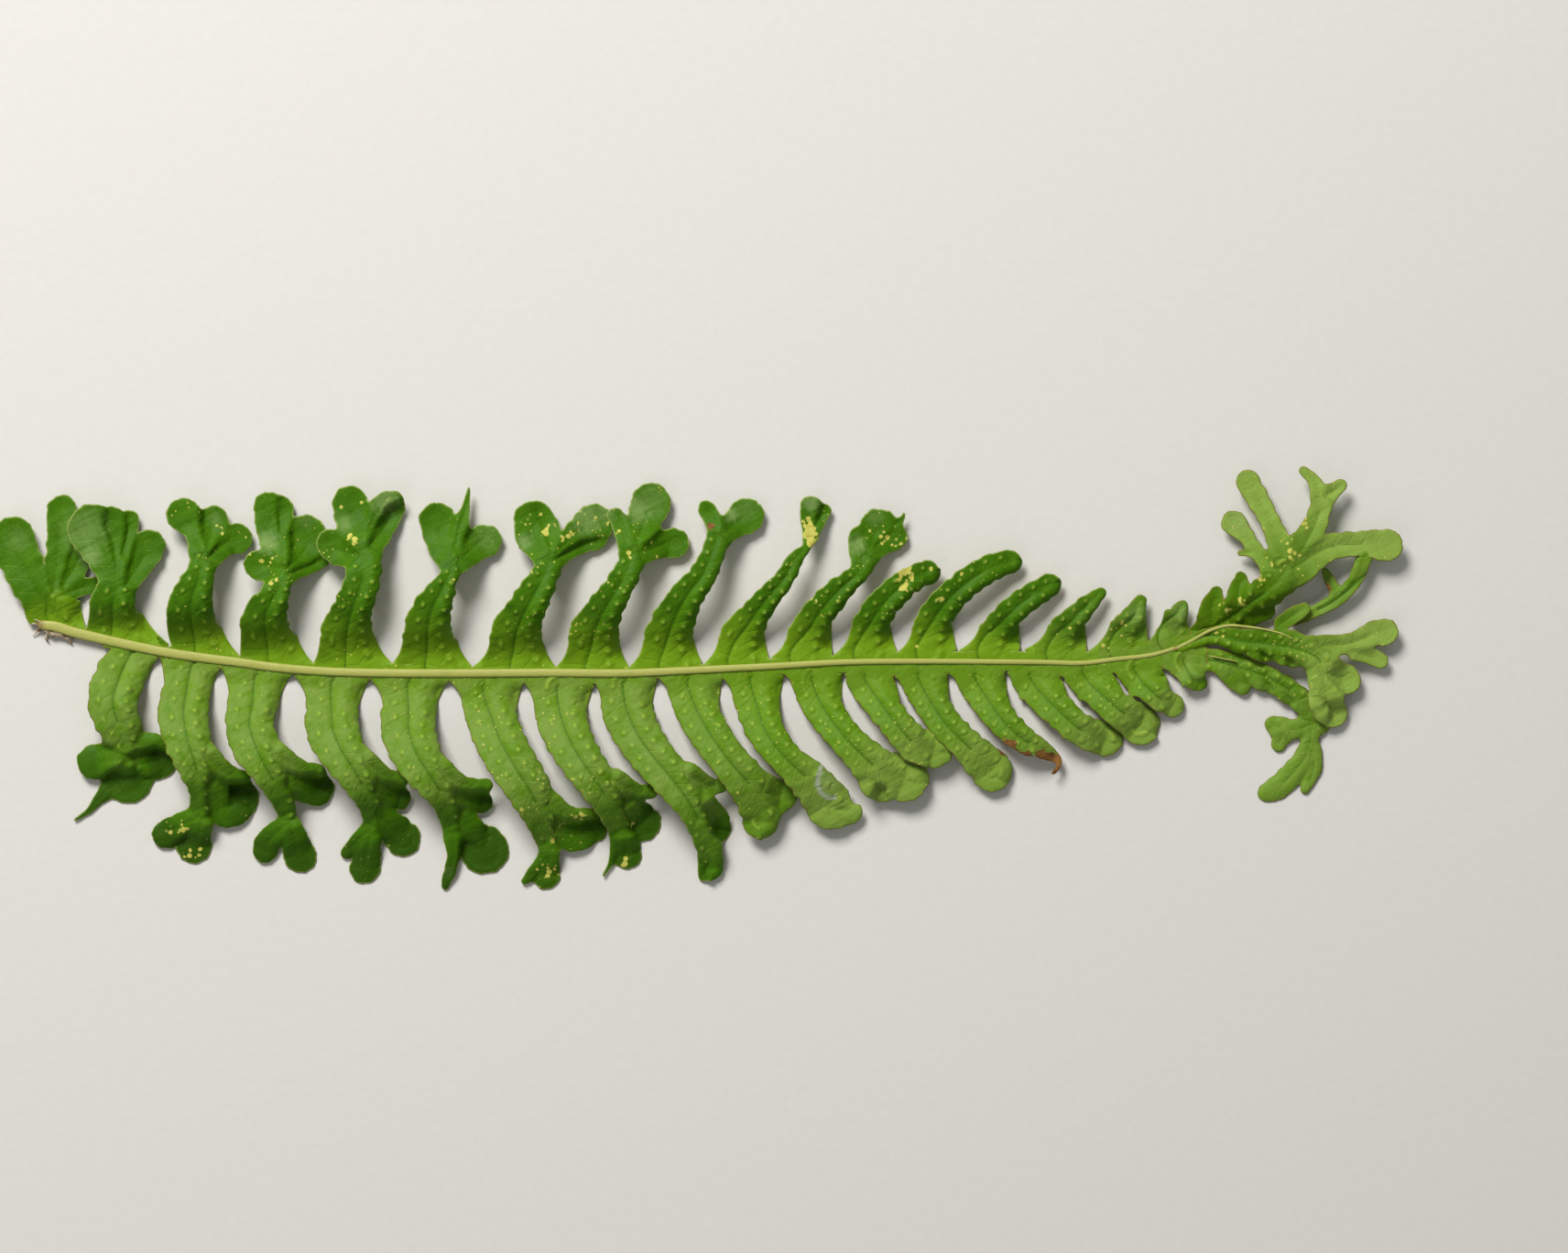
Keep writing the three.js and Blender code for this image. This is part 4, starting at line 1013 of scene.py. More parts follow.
@dataclass
class Sheet:
    """The middle surface of a stretch of blade: vertices, triangles and each mark's values at them."""

    points: np.ndarray
    faces: np.ndarray
    marks: dict[str, np.ndarray]

    def normals(self, points: np.ndarray) -> np.ndarray:
        """The vertex normals: the sum of the area-weighted normals of the triangles round each.

        Args:
            points: the vertices' places, which the sheet's triangles join.

        Returns:
            Rows of x, y and z, of length 1.
        """
        a, b, c = (points[self.faces[:, k]] for k in range(3))
        face = np.cross(b - a, c - a)
        total = np.zeros_like(points)
        for k in range(3):
            for axis in range(3):
                total[:, axis] += np.bincount(self.faces[:, k], face[:, axis], len(points))
        return total / np.maximum(np.linalg.norm(total, axis=1, keepdims=True), 1e-12)

    def rim(self) -> np.ndarray:
        """Finds the open sides: the directed sides that belong to one triangle alone.

        Returns:
            Rows of two vertex numbers.
        """
        sides = np.vstack([self.faces[:, [0, 1]], self.faces[:, [1, 2]], self.faces[:, [2, 0]]])
        n = len(self.points)
        own, back = sides[:, 0] * n + sides[:, 1], sides[:, 1] * n + sides[:, 0]
        return sides[~np.isin(own, back)]


class Row:
    """The blade on one side of the midrib: the web along it, the lobes and a branch of the tip."""

    ZONE = 5.0
    GAP_SLACK = 1.04
    CLOSING = {Side.UP: (4.0, 2.2), Side.DOWN: (4.5, 2.2)}
    RISE_ENDS = {Side.UP: 8.0, Side.DOWN: 5.0}

    def __init__(
        self, lobes: list[Lobe], notches: list[tuple[float, float]], side: Side, seed: float
    ) -> None:
        """Lays out the shapes, and measures the gap between neighbours where they leave the web.

        ZONE is how far past the web the corners are filled, CLOSING how slowly the west and the east
        side of a gap open, and RISE_ENDS how far from the midrib the blade has risen to the lobe.

        Args:
            lobes: from the base of the frond to its tip.
            notches: the web's edge: its start, the places where lobes part, and its end.
            side: the side of the midrib that the row lies on.
            seed: sets the waves and the scatter.
        """
        self.side = side
        self.web = on_frame(notches)
        self.midrib = on_frame(np.array(MIDRIB)[:, :2])
        self.shapes = [LobeShape(lobe, side, seed + 2.37 * i) for i, lobe in enumerate(lobes)]
        self.closing = self.CLOSING[side]
        self.gaps = np.zeros((len(notches), 2))
        inner = np.arange(1, len(notches) - 1)
        out = self.web[inner] + [0, side * self.ZONE]
        for k, place in zip(inner, out):
            for way in (0, 1):
                shape = self.shapes[k - 1 + way]
                self.gaps[k, way] = self.GAP_SLACK * shape.read(place[None]).edge[0]

    def past_web(self, places: np.ndarray) -> np.ndarray:
        """How far each place lies beyond the web's edge, away from the midrib."""
        return self.side * (places[:, 1] - np.interp(places[:, 0], *self.web.T))

    def past_midrib(self, places: np.ndarray) -> np.ndarray:
        """How far each place lies on this row's side of the midrib."""
        return self.side * (places[:, 1] - np.interp(places[:, 0], *self.midrib.T))

    def web_edge(self, places: np.ndarray) -> np.ndarray:
        """The web's edge distance: the largest of the distances past its four sides.

        Args:
            places: rows of x and y in millimetres.

        Returns:
            The distance at each place.
        """
        x = places[:, 0]
        ends = np.maximum(self.web[0, 0] - x, x - self.web[-1, 0])
        return np.maximum.reduce([self.past_web(places), -self.past_midrib(places), ends])

    def corner_edge(self, places: np.ndarray) -> np.ndarray:
        """The edge distance of the blade that fills the corners between neighbours.

        Each side of a gap leaves the notch and nears its full distance from it as an exponential
        does, slowly on the west side and quickly on the east side.

        Args:
            places: rows of x and y in millimetres.

        Returns:
            The distance at each place.
        """
        past = self.past_web(places)
        x = self.web[:, 0]
        k = np.searchsorted((x[1:] + x[:-1]) / 2, places[:, 0])
        aside = places[:, 0] - x[k]
        west, east = (self.gaps[k, way] * (1 - np.exp(-np.maximum(past, 0) / self.closing[way]))
                      / (1 - math.exp(-self.ZONE / self.closing[way])) for way in (0, 1))
        edge = np.maximum(past - self.ZONE, np.minimum(aside + west, east - aside))
        return np.where((k == 0) | (k == len(x) - 1) | (past < 0), FAR, edge)

    def lobe_edge(self, i: int, places: np.ndarray, edge: np.ndarray) -> np.ndarray:
        """A lobe's edge distance, kept to its side of the midrib, its notches and its bite.

        Args:
            i: the lobe's number in the row.
            places: rows of x and y in millimetres.
            edge: the strokes' own edge distance there.

        Returns:
            The distance at each place.
        """
        edge = np.maximum(edge, -self.past_midrib(places))
        for k, way in ((i, -1), (i + 1, 1)):
            if k < len(self.web):
                x, y = self.web[k]
                beyond = np.minimum(way * (places[:, 0] - x), self.side * (y - places[:, 1]))
                edge = np.maximum(edge, beyond)
        bite = self.shapes[i].lobe.bite
        if bite:
            gap = np.hypot(*(places - on_frame([bite[:2]])).T)
            ragged = 0.25 * lumps(places[:, 0], places[:, 1], 1.9)
            edge = np.maximum(edge, bite[2] * RULE + ragged - gap)
        return edge

    def sheet(self) -> Sheet:
        """Makes the row's middle surface.

        Near the web the outline is the union of web and lobes, and there each lattice node belongs to
        the lobe it lies deepest in. Past ZONE each lobe is cut on its own, so that crests may pass over
        and under one another, and is joined to the rest along the nodes they share.

        Returns:
            The surface, with its height and its marks.
        """
        low = np.min([s.low for s in self.shapes], 0) - 1
        high = np.max([s.high for s in self.shapes], 0) + 1
        whole = window_over(low, high)
        places = whole.places()
        shape = whole.edge.shape
        whole.edge = np.minimum(self.web_edge(places), self.corner_edge(places)).reshape(shape)
        deepest = np.full(shape, FAR)
        owner = np.zeros(shape, int)
        windows = []
        for i, lobe in enumerate(self.shapes):
            window = window_over(lobe.low, lobe.high)
            spots = window.places()
            edge = self.lobe_edge(i, spots, lobe.read(spots).edge)
            window.edge = edge.reshape(window.edge.shape)
            windows.append(window)
            row, column = window.row - whole.row, window.column - whole.column
            part = (slice(row, row + window.edge.shape[0]), slice(column, column + window.edge.shape[1]))
            nearer = window.edge < deepest[part]
            owner[part][nearer] = i
            deepest[part] = np.minimum(deepest[part], window.edge)
            window.edge = window.edge + INSET
        whole.edge = np.minimum(whole.edge, deepest) + INSET

        faces, keys, spots = trim(whole, self.cells(whole, near=True))
        column = np.rint(spots[:, 0] / LATTICE).astype(int) - whole.column
        row = np.rint(spots[:, 1] / LATTICE).astype(int) - whole.row
        base_keys = keys
        all_faces, all_keys, all_spots, all_owners = [faces], [keys], [spots], [owner[row, column]]
        for i, window in enumerate(windows):
            faces, keys, spots = trim(window, self.cells(window, near=False))
            layer = np.where(np.isin(keys, base_keys), 0, i + 1) * (STRIDE * STRIDE * 3)
            all_faces.append(faces + layer[np.searchsorted(keys, faces)])
            all_keys.append(keys + layer)
            all_spots.append(spots)
            all_owners.append(np.full(len(keys), i))
        known, first = np.unique(np.concatenate(all_keys), return_index=True)
        points = np.vstack(all_spots)[first]
        owners = np.concatenate(all_owners)[first]
        return self.lift(points, owners, np.searchsorted(known, np.vstack(all_faces)))

    def cells(self, window: Window, near: bool) -> np.ndarray:
        """Picks the cells of a window that lie near the web, or else those past ZONE.

        Args:
            window: the lattice nodes.
            near: true for the cells near the web.

        Returns:
            True or false for each cell.
        """
        past = self.past_web(window.places()).reshape(window.edge.shape)
        middle = (past[:-1, :-1] + past[1:, 1:]) / 2
        return (middle < self.ZONE) == near

    def lift(self, points: np.ndarray, owners: np.ndarray, faces: np.ndarray) -> Sheet:
        """Gives each vertex the height and the marks that its lobe has there.

        Args:
            points: rows of x and y in millimetres.
            owners: the number of each vertex's lobe.
            faces: the triangles.

        Returns:
            The middle surface.
        """
        n = len(points)
        marks = {name: np.zeros(n) for name in MARKS}
        height = np.zeros(n)
        for i, lobe in enumerate(self.shapes):
            mine = np.flatnonzero(owners == i)
            if len(mine) == 0:
                continue
            at = points[mine]
            reading = lobe.read(at)
            past = self.past_web(at)
            off_midrib = smoothstep(self.past_midrib(at), 0.3, self.RISE_ENDS[self.side])
            clear = smoothstep(past, -1.5, 1.0) * off_midrib
            bend = reading.bend * smoothstep(past, -0.3, 3.0)
            height[mine] = ROOT_HEIGHT + (reading.height - ROOT_HEIGHT) * clear + bend
            edge = self.lobe_edge(i, at, reading.edge)
            inner = np.minimum.reduce([edge, self.web_edge(at), self.corner_edge(at)])
            for name, value in lobe_marks(lobe, reading, inner).items():
                marks[name][mine] = value
        height = np.maximum(height, BLADE_THICKNESS / 2)
        return Sheet(np.column_stack([points, height]), faces, marks)


def lobe_marks(lobe: LobeShape, reading: Reading, edge: np.ndarray) -> dict[str, np.ndarray]:
    """What the finish needs to know of each vertex of a lobe.

    Args:
        lobe: the lobe's shape.
        reading: its strokes, read at the vertices.
        edge: the edge distance there.

    Returns:
        One array for each name in MARKS.
    """
    share = reading.share / lobe.length
    # Painted light: the lower row and some lobes get painted sheen and light, which fades along a shaded
    # crest; where such a crest hangs low the value goes below zero for painted shade.
    fade = 1 - 0.75 * lobe.lobe.shade * smoothstep(share, 0.48, 0.72)
    # Painted shade: darker where a shaded crest hangs low.
    dark = lobe.lobe.shade * (1 - smoothstep(reading.height, 0.8, 3.4)) * smoothstep(share, 0.6, 0.75)
    row_painted_light = 0.0 if lobe.side is Side.UP else 1.0
    return {
        "run": reading.run,
        "off": reading.off,
        "east": reading.east,
        "vein": reading.vein,
        "sorus": reading.sorus,
        "rim": np.maximum(-edge, 0),
        "share": share,
        "fleck": np.full(len(edge), lobe.lobe.fleck),
        "painted_light": (lobe.lobe.painted_light + row_painted_light) * (1 - dark) * fade - dark,
    }


def lone_sheet(lobe: LobeShape) -> Sheet:
    """Makes the middle surface of a branch that lies over or under the rows.

    Args:
        lobe: the branch's shape.

    Returns:
        The surface, with its marks.
    """
    window = window_over(lobe.low, lobe.high)
    window.edge = lobe.read(window.places()).edge.reshape(window.edge.shape) + INSET
    faces, keys, spots = trim(window, np.ones_like(window.edge[1:, 1:], bool))
    reading = lobe.read(spots)
    height = np.maximum(reading.height + reading.bend, BLADE_THICKNESS / 2)
    points = np.column_stack([spots, height])
    return Sheet(points, np.searchsorted(keys, faces), lobe_marks(lobe, reading, reading.edge))


def lateral(run: np.ndarray, off: np.ndarray) -> np.ndarray:
    """The distance along the lobe to the nearest side vein, which leaves the midvein at a slant.

    Args:
        run: the distance along the stroke at each place.
        off: the signed distance off its axis.

    Returns:
        The distance.
    """
    slant = run - SIDE_VEIN_SLANT * np.abs(off) + SIDE_VEIN_CURL * off * off
    return np.abs((slant / SIDE_VEIN_PITCH + 0.5) % 1 - 0.5) * SIDE_VEIN_PITCH


def mesh_object(
    name: str, points: np.ndarray, faces: np.ndarray, attributes: dict[str, np.ndarray]
) -> bpy.types.Object:
    """Makes a smooth-shaded object from triangles or quads.

    Args:
        name: the object's name.
        points: vertices in millimetres.
        faces: rows of vertex numbers.
        attributes: for each name, one number or one vector a vertex.

    Returns:
        The object, linked to the scene.
    """
    mesh = bpy.data.meshes.new(name)
    sides = faces.shape[1]
    mesh.vertices.add(len(points))
    mesh.vertices.foreach_set("co", (points * METRES).astype(np.float32).ravel())
    mesh.loops.add(faces.size)
    mesh.loops.foreach_set("vertex_index", faces.astype(np.int32).ravel())
    mesh.polygons.add(len(faces))
    mesh.polygons.foreach_set("loop_start", (np.arange(len(faces)) * sides).astype(np.int32))
    mesh.polygons.foreach_set("use_smooth", np.ones(len(faces), bool))
    for label, values in attributes.items():
        kind, slot = ("FLOAT", "value") if values.ndim == 1 else ("FLOAT_VECTOR", "vector")
        layer = mesh.attributes.new(label, kind, "POINT")
        layer.data.foreach_set(slot, values.astype(np.float32).ravel())
    mesh.update(calc_edges=True)
    mesh.validate()
    obj = bpy.data.objects.new(name, mesh)
    bpy.context.scene.collection.objects.link(obj)
    return obj


@dataclass
class Blade:
    """Turns a middle surface into a thin closed blade with its relief on both faces.

    Near the rim the blade thins by the share thin_rim over rim_width, and its edge bulges by a share of
    half the thickness. No point of the under side lies lower than lowest, or of the edge than
    rim_lowest, and the upper side stays least_gap above the under side.
    """

    spots_and_sheen: dict[Kind, list[Spot]]
    thickness: float = BLADE_THICKNESS
    thin_rim: float = 0.4
    rim_width: float = 0.45
    rim_bulge: float = 0.8
    rim_under: float = 0.4
    lowest: float = 0.01
    rim_lowest: float = 0.03
    least_gap: float = 0.12
    bump_height: float = 0.2
    bump_width: float = 0.38
    ring_width: float = 0.22
    groove_depth: float = 0.16
    groove_width: float = 0.24
    trough_depth: float = 0.2
    trough_width: float = 0.85
    side_vein_depth: float = 0.035
    side_vein_width: float = 0.3
    dome_height: float = 0.5
    dome_width: float = 0.85
    ridge_height: float = 0.2
    ridge_width: float = 0.4

    def upper_relief(self, sheet: Sheet) -> np.ndarray:
        """Relief of the upper side: the sunken veins, a bump over each sorus and a slight unevenness.

        A bump is exp(-(distance / width)^2) with a shallow ring round it, and is bigger on the east
        half of a lobe near the midrib. The midvein is a narrow groove in a wide trough.

        Args:
            sheet: the middle surface.

        Returns:
            The relief at each vertex, in millimetres.
        """
        m = sheet.marks
        x, y = sheet.points[:, 0], sheet.points[:, 1]
        blister = smoothstep(m["east"], 0.1, 0.5) * (1 - smoothstep(m["share"], 0.2, 0.7))
        width = self.bump_width * (1 + 0.6 * blister)
        ring = 0.35 * np.exp(-((m["sorus"] - 2 * width) / self.ring_width) ** 2)
        bumps = self.bump_height * (1 + 0.5 * blister) * (np.exp(-(m["sorus"] / width) ** 2) - ring)
        groove = self.groove_depth * np.exp(-(m["vein"] / self.groove_width) ** 2)
        trough = self.trough_depth * np.exp(-(m["vein"] / self.trough_width) ** 2)
        near = smoothstep(m["rim"], 0.2, 1.0)
        plain = 1 - smoothstep(m["share"], 0.5, 0.75)
        aside = lateral(m["run"], m["off"]) / self.side_vein_width
        sides = self.side_vein_depth * np.exp(-aside ** 2) * near * plain
        uneven = 0.05 * lumps(x, y, 3.3) + 0.03 * lumps(x, y, 1.4, 2.0)
        return bumps - (groove + trough) - sides + uneven * near

    def lower_relief(self, sheet: Sheet) -> np.ndarray:
        """Relief of the lower side: the midvein's ridge and the round, domed sori.

        Args:
            sheet: the middle surface.

        Returns:
            The relief at each vertex, in millimetres.
        """
        m = sheet.marks
        dome = np.sqrt(np.clip(1 - (m["sorus"] / self.dome_width) ** 2, 0, 1))
        ridge = self.ridge_height * np.exp(-(m["vein"] / self.ridge_width) ** 2)
        return self.dome_height * dome * smoothstep(m["rim"], 0.1, 0.5) + ridge

    def wear(self, points: np.ndarray) -> np.ndarray:
        """How dead, flecked and silvery each vertex is, and its painted sheen: soft spots with a ragged
        edge.

        Args:
            points: rows of x, y and z in millimetres.

        Returns:
            A column of values for each kind of mark.
        """
        x, y = points[:, 0], points[:, 1]
        ragged = 0.3 * lumps(x, y, 1.7, 4.0)
        wear = np.zeros((len(points), len(Kind)))
        for column, kind in enumerate(Kind):
            soft = (1.2, 0.6) if kind is not Kind.HAZE else (1.5, 0.2)
            for *place, radius, strength in self.spots_and_sheen[kind]:
                gap = np.hypot(*(points[:, :2] - on_frame([place])).T) / (radius * RULE)
                spot = strength * smoothstep(-gap + ragged, -soft[0], -soft[1])
                wear[:, column] = np.maximum(wear[:, column], spot)
        return wear

    def build(self, name: str, sheet: Sheet) -> bpy.types.Object:
        """Makes the closed blade: both faces, and a round rim between them.

        The faces stand off the middle surface along its normal by half the thickness, which falls
        towards the rim, and by their relief. Nothing reaches below the surface that the frond lies on.

        Args:
            name: the piece's name.
            sheet: the middle surface.

        Returns:
            The piece.
        """
        middle = sheet.points
        normal = sheet.normals(middle)
        thinner = self.thin_rim * np.exp(-(sheet.marks["rim"] / self.rim_width) ** 2)
        half = self.thickness / 2 * (1 - thinner)
        top = middle + normal * (half + self.upper_relief(sheet))[:, None]
        bottom = middle - normal * (half + self.lower_relief(sheet))[:, None]
        bottom[:, 2] = np.maximum(bottom[:, 2], self.lowest)
        top[:, 2] = np.maximum(top[:, 2], bottom[:, 2] + self.least_gap)
        sides = sheet.rim()
        along = middle[sides[:, 1]] - middle[sides[:, 0]]
        out = np.cross(along, normal[sides[:, 0]])
        outward = np.zeros_like(middle)
        for k in range(2):
            for axis in range(3):
                outward[:, axis] += np.bincount(sides[:, k], out[:, axis], len(middle))
        on_rim = np.unique(sides)
        outward = outward[on_rim]
        outward /= np.maximum(np.linalg.norm(outward, axis=1, keepdims=True), 1e-9)
        edge = (top[on_rim] + bottom[on_rim]) / 2 + outward * self.rim_bulge * half[on_rim, None]
        edge[:, 2] = np.maximum(edge[:, 2], self.rim_lowest)
        n = len(middle)
        ring = np.full(n, -1)
        ring[on_rim] = 2 * n + np.arange(len(on_rim))
        a, b = sides[:, 0], sides[:, 1]
        strip = [
            [a, ring[a], b], [b, ring[a], ring[b]], [ring[a], a + n, ring[b]], [ring[b], a + n, b + n],
        ]
        faces = np.vstack([sheet.faces, sheet.faces[:, ::-1] + n] + [np.stack(t, 1) for t in strip])
        points = np.vstack([top, bottom, edge])
        under = np.concatenate([np.zeros(n), np.ones(n), np.full(len(on_rim), self.rim_under)])
        m = {k: np.concatenate([v, v, v[on_rim]]) for k, v in sheet.marks.items()}
        # Dead tissue, flecks and silvery skin, then the painted sheen patches, which go to the leaf
        # attribute.
        wear = self.wear(points)
        attributes = {
            "leaf": np.column_stack([m["run"], m["off"], wear[:, 3]]),
            "relief": np.column_stack([m["vein"], m["sorus"], m["rim"]]),
            "wear": wear[:, :3],
            "tone": np.column_stack([m["share"], m["fleck"], m["painted_light"]]),
            "under": under,
        }
        return mesh_object(name, drawn_in(points), faces, attributes)


@dataclass
class Rib:
    """A ridge carried along a path: its [x, y, half width] and its lowest and highest point there."""

    path: np.ndarray
    low: np.ndarray
    high: np.ndarray
    around: int = 20
    squareness: float = 3.0

    def surface(self) -> Surface:
        """Carries a rounded, squarish section along the path.

        A point of the section at angle a stands at the signed power 2 / squareness of the cosine and
        the sine. The ends are closed with a fan.

        Returns:
            Vertices, triangles, and for each vertex its angle's cosine, sine and run along the path.
        """
        xy, r = self.path[:, :2], self.path[:, 2]
        tangent = np.gradient(xy, axis=0)
        tangent /= np.linalg.norm(tangent, axis=1, keepdims=True)
        across = np.column_stack([tangent[:, 1], -tangent[:, 0]])
        run = np.concatenate([[0], np.cumsum(np.hypot(*np.diff(xy, axis=0).T))])
        angle = np.linspace(0, 2 * math.pi, self.around, endpoint=False)
        power = 2 / self.squareness
        c = np.sign(np.cos(angle)) * np.abs(np.cos(angle)) ** power
        s = np.sign(np.sin(angle)) * np.abs(np.sin(angle)) ** power
        x = xy[:, None, 0] + across[:, None, 0] * r[:, None] * c
        y = xy[:, None, 1] + across[:, None, 1] * r[:, None] * c
        z = (self.low + self.high)[:, None] / 2 + (self.high - self.low)[:, None] / 2 * s
        points = np.stack([x, y, z], -1).reshape(-1, 3)
        rings, k = len(xy), self.around
        i, j = np.indices((rings - 1, k))
        a, b = i * k + j, i * k + (j + 1) % k
        quads = np.stack([a, b, b + k, a + k], -1).reshape(-1, 4)
        faces = np.vstack([quads[:, [0, 2, 1]], quads[:, [0, 3, 2]]])
        ends = points.reshape(rings, k, 3)[[0, -1]].mean(1)
        first, last = rings * k, rings * k + 1
        turn = np.arange(k)
        caps = [np.stack([np.full(k, first), turn, (turn + 1) % k], 1),
                np.stack([np.full(k, last), (rings - 1) * k + (turn + 1) % k, (rings - 1) * k + turn], 1)]
        side = np.stack(np.broadcast_arrays(np.cos(angle)[None], np.sin(angle)[None], run[:, None]), -1)
        side = np.vstack([side.reshape(-1, 3), [[0, 0, 0], [0, 0, run[-1]]]])
        return np.vstack([points, ends]), np.vstack([faces] + caps), side


def join(parts: list[Surface]) -> Surface:
    """Puts several surfaces in one, with their vertices numbered on.

    Args:
        parts: the surfaces, each with its vertices, its triangles and what is kept of each vertex.

    Returns:
        One such surface.
    """
    counts = np.cumsum([0] + [len(p[0]) for p in parts])
    points = np.vstack([p[0] for p in parts])
    faces = np.vstack([p[1] + start for p, start in zip(parts, counts)])
    return points, faces, np.vstack([p[2] for p in parts])


def colour(red: int, green: int, blue: int) -> Colour:
    """Turns a colour's display values into the linear ones that shaders use, by the sRGB curve.

    Args:
        red, green, blue: display values from 0 to 255.

    Returns:
        The linear values, and 1 for the alpha.
    """
    shares = (np.array([red, green, blue]) / 255 + 0.055) / 1.055
    linear = np.where(shares > 0.0945, shares ** 2.4, (shares * 1.055 - 0.055) / 12.92)
    return (*(float(v) for v in linear), 1.0)


class Signal:
    """A number that varies over a surface: a socket, whose operators add Math nodes."""

    def __init__(self, mixer: "Mixer", socket: bpy.types.NodeSocket) -> None:
        """Wraps a socket of the mixer's material."""
        self.mixer = mixer
        self.socket = socket

    def maths(self, operation: str, *others: "Signal | float", flip: bool = False) -> "Signal":
        """Adds a Math node.

        Args:
            operation: the node's operation.
            others: its further values, signals or plain numbers.
            flip: puts this signal after the others.

        Returns:
            The result.
        """
        values = [*others, self] if flip else [self, *others]
        return self.mixer.number("ShaderNodeMath", {"operation": operation}, dict(enumerate(values)))

    def __add__(self, other: "Signal | float") -> "Signal":
        """Sum."""
        return self.maths("ADD", other)

    def __sub__(self, other: "Signal | float") -> "Signal":
        """Difference."""
        return self.maths("SUBTRACT", other)

    def __rsub__(self, other: float) -> "Signal":
        """Difference from a plain number."""
        return self.maths("SUBTRACT", other, flip=True)

    def __mul__(self, other: "Signal | float") -> "Signal":
        """Product."""
        return self.maths("MULTIPLY", other)

    def __truediv__(self, other: "Signal | float") -> "Signal":
        """Quotient."""
        return self.maths("DIVIDE", other)

    def __pow__(self, other: "Signal | float") -> "Signal":
        """Power."""
        return self.maths("POWER", other)

    def __abs__(self) -> "Signal":
        """Size without sign."""
        return self.maths("ABSOLUTE")

    __radd__ = __add__
    __rmul__ = __mul__

    def fraction(self) -> "Signal":
        """The part after the whole number below."""
        return self.maths("FRACT")

    def rise(self, low: float, high: float) -> "Signal":
        """Goes smoothly from 0 at low to 1 at high, or falls if high is the lower one.

        Args:
            low: the value at which the result is 0.
            high: the value at which it is 1.

        Returns:
            The result.
        """
        settings = {"interpolation_type": "SMOOTHSTEP"}
        if low < high:
            values = {"Value": self, "From Min": low, "From Max": high}
            return self.mixer.number("ShaderNodeMapRange", settings, values)
        values = {"Value": self, "From Min": high, "From Max": low, "To Min": 1.0, "To Max": 0.0}
        return self.mixer.number("ShaderNodeMapRange", settings, values)


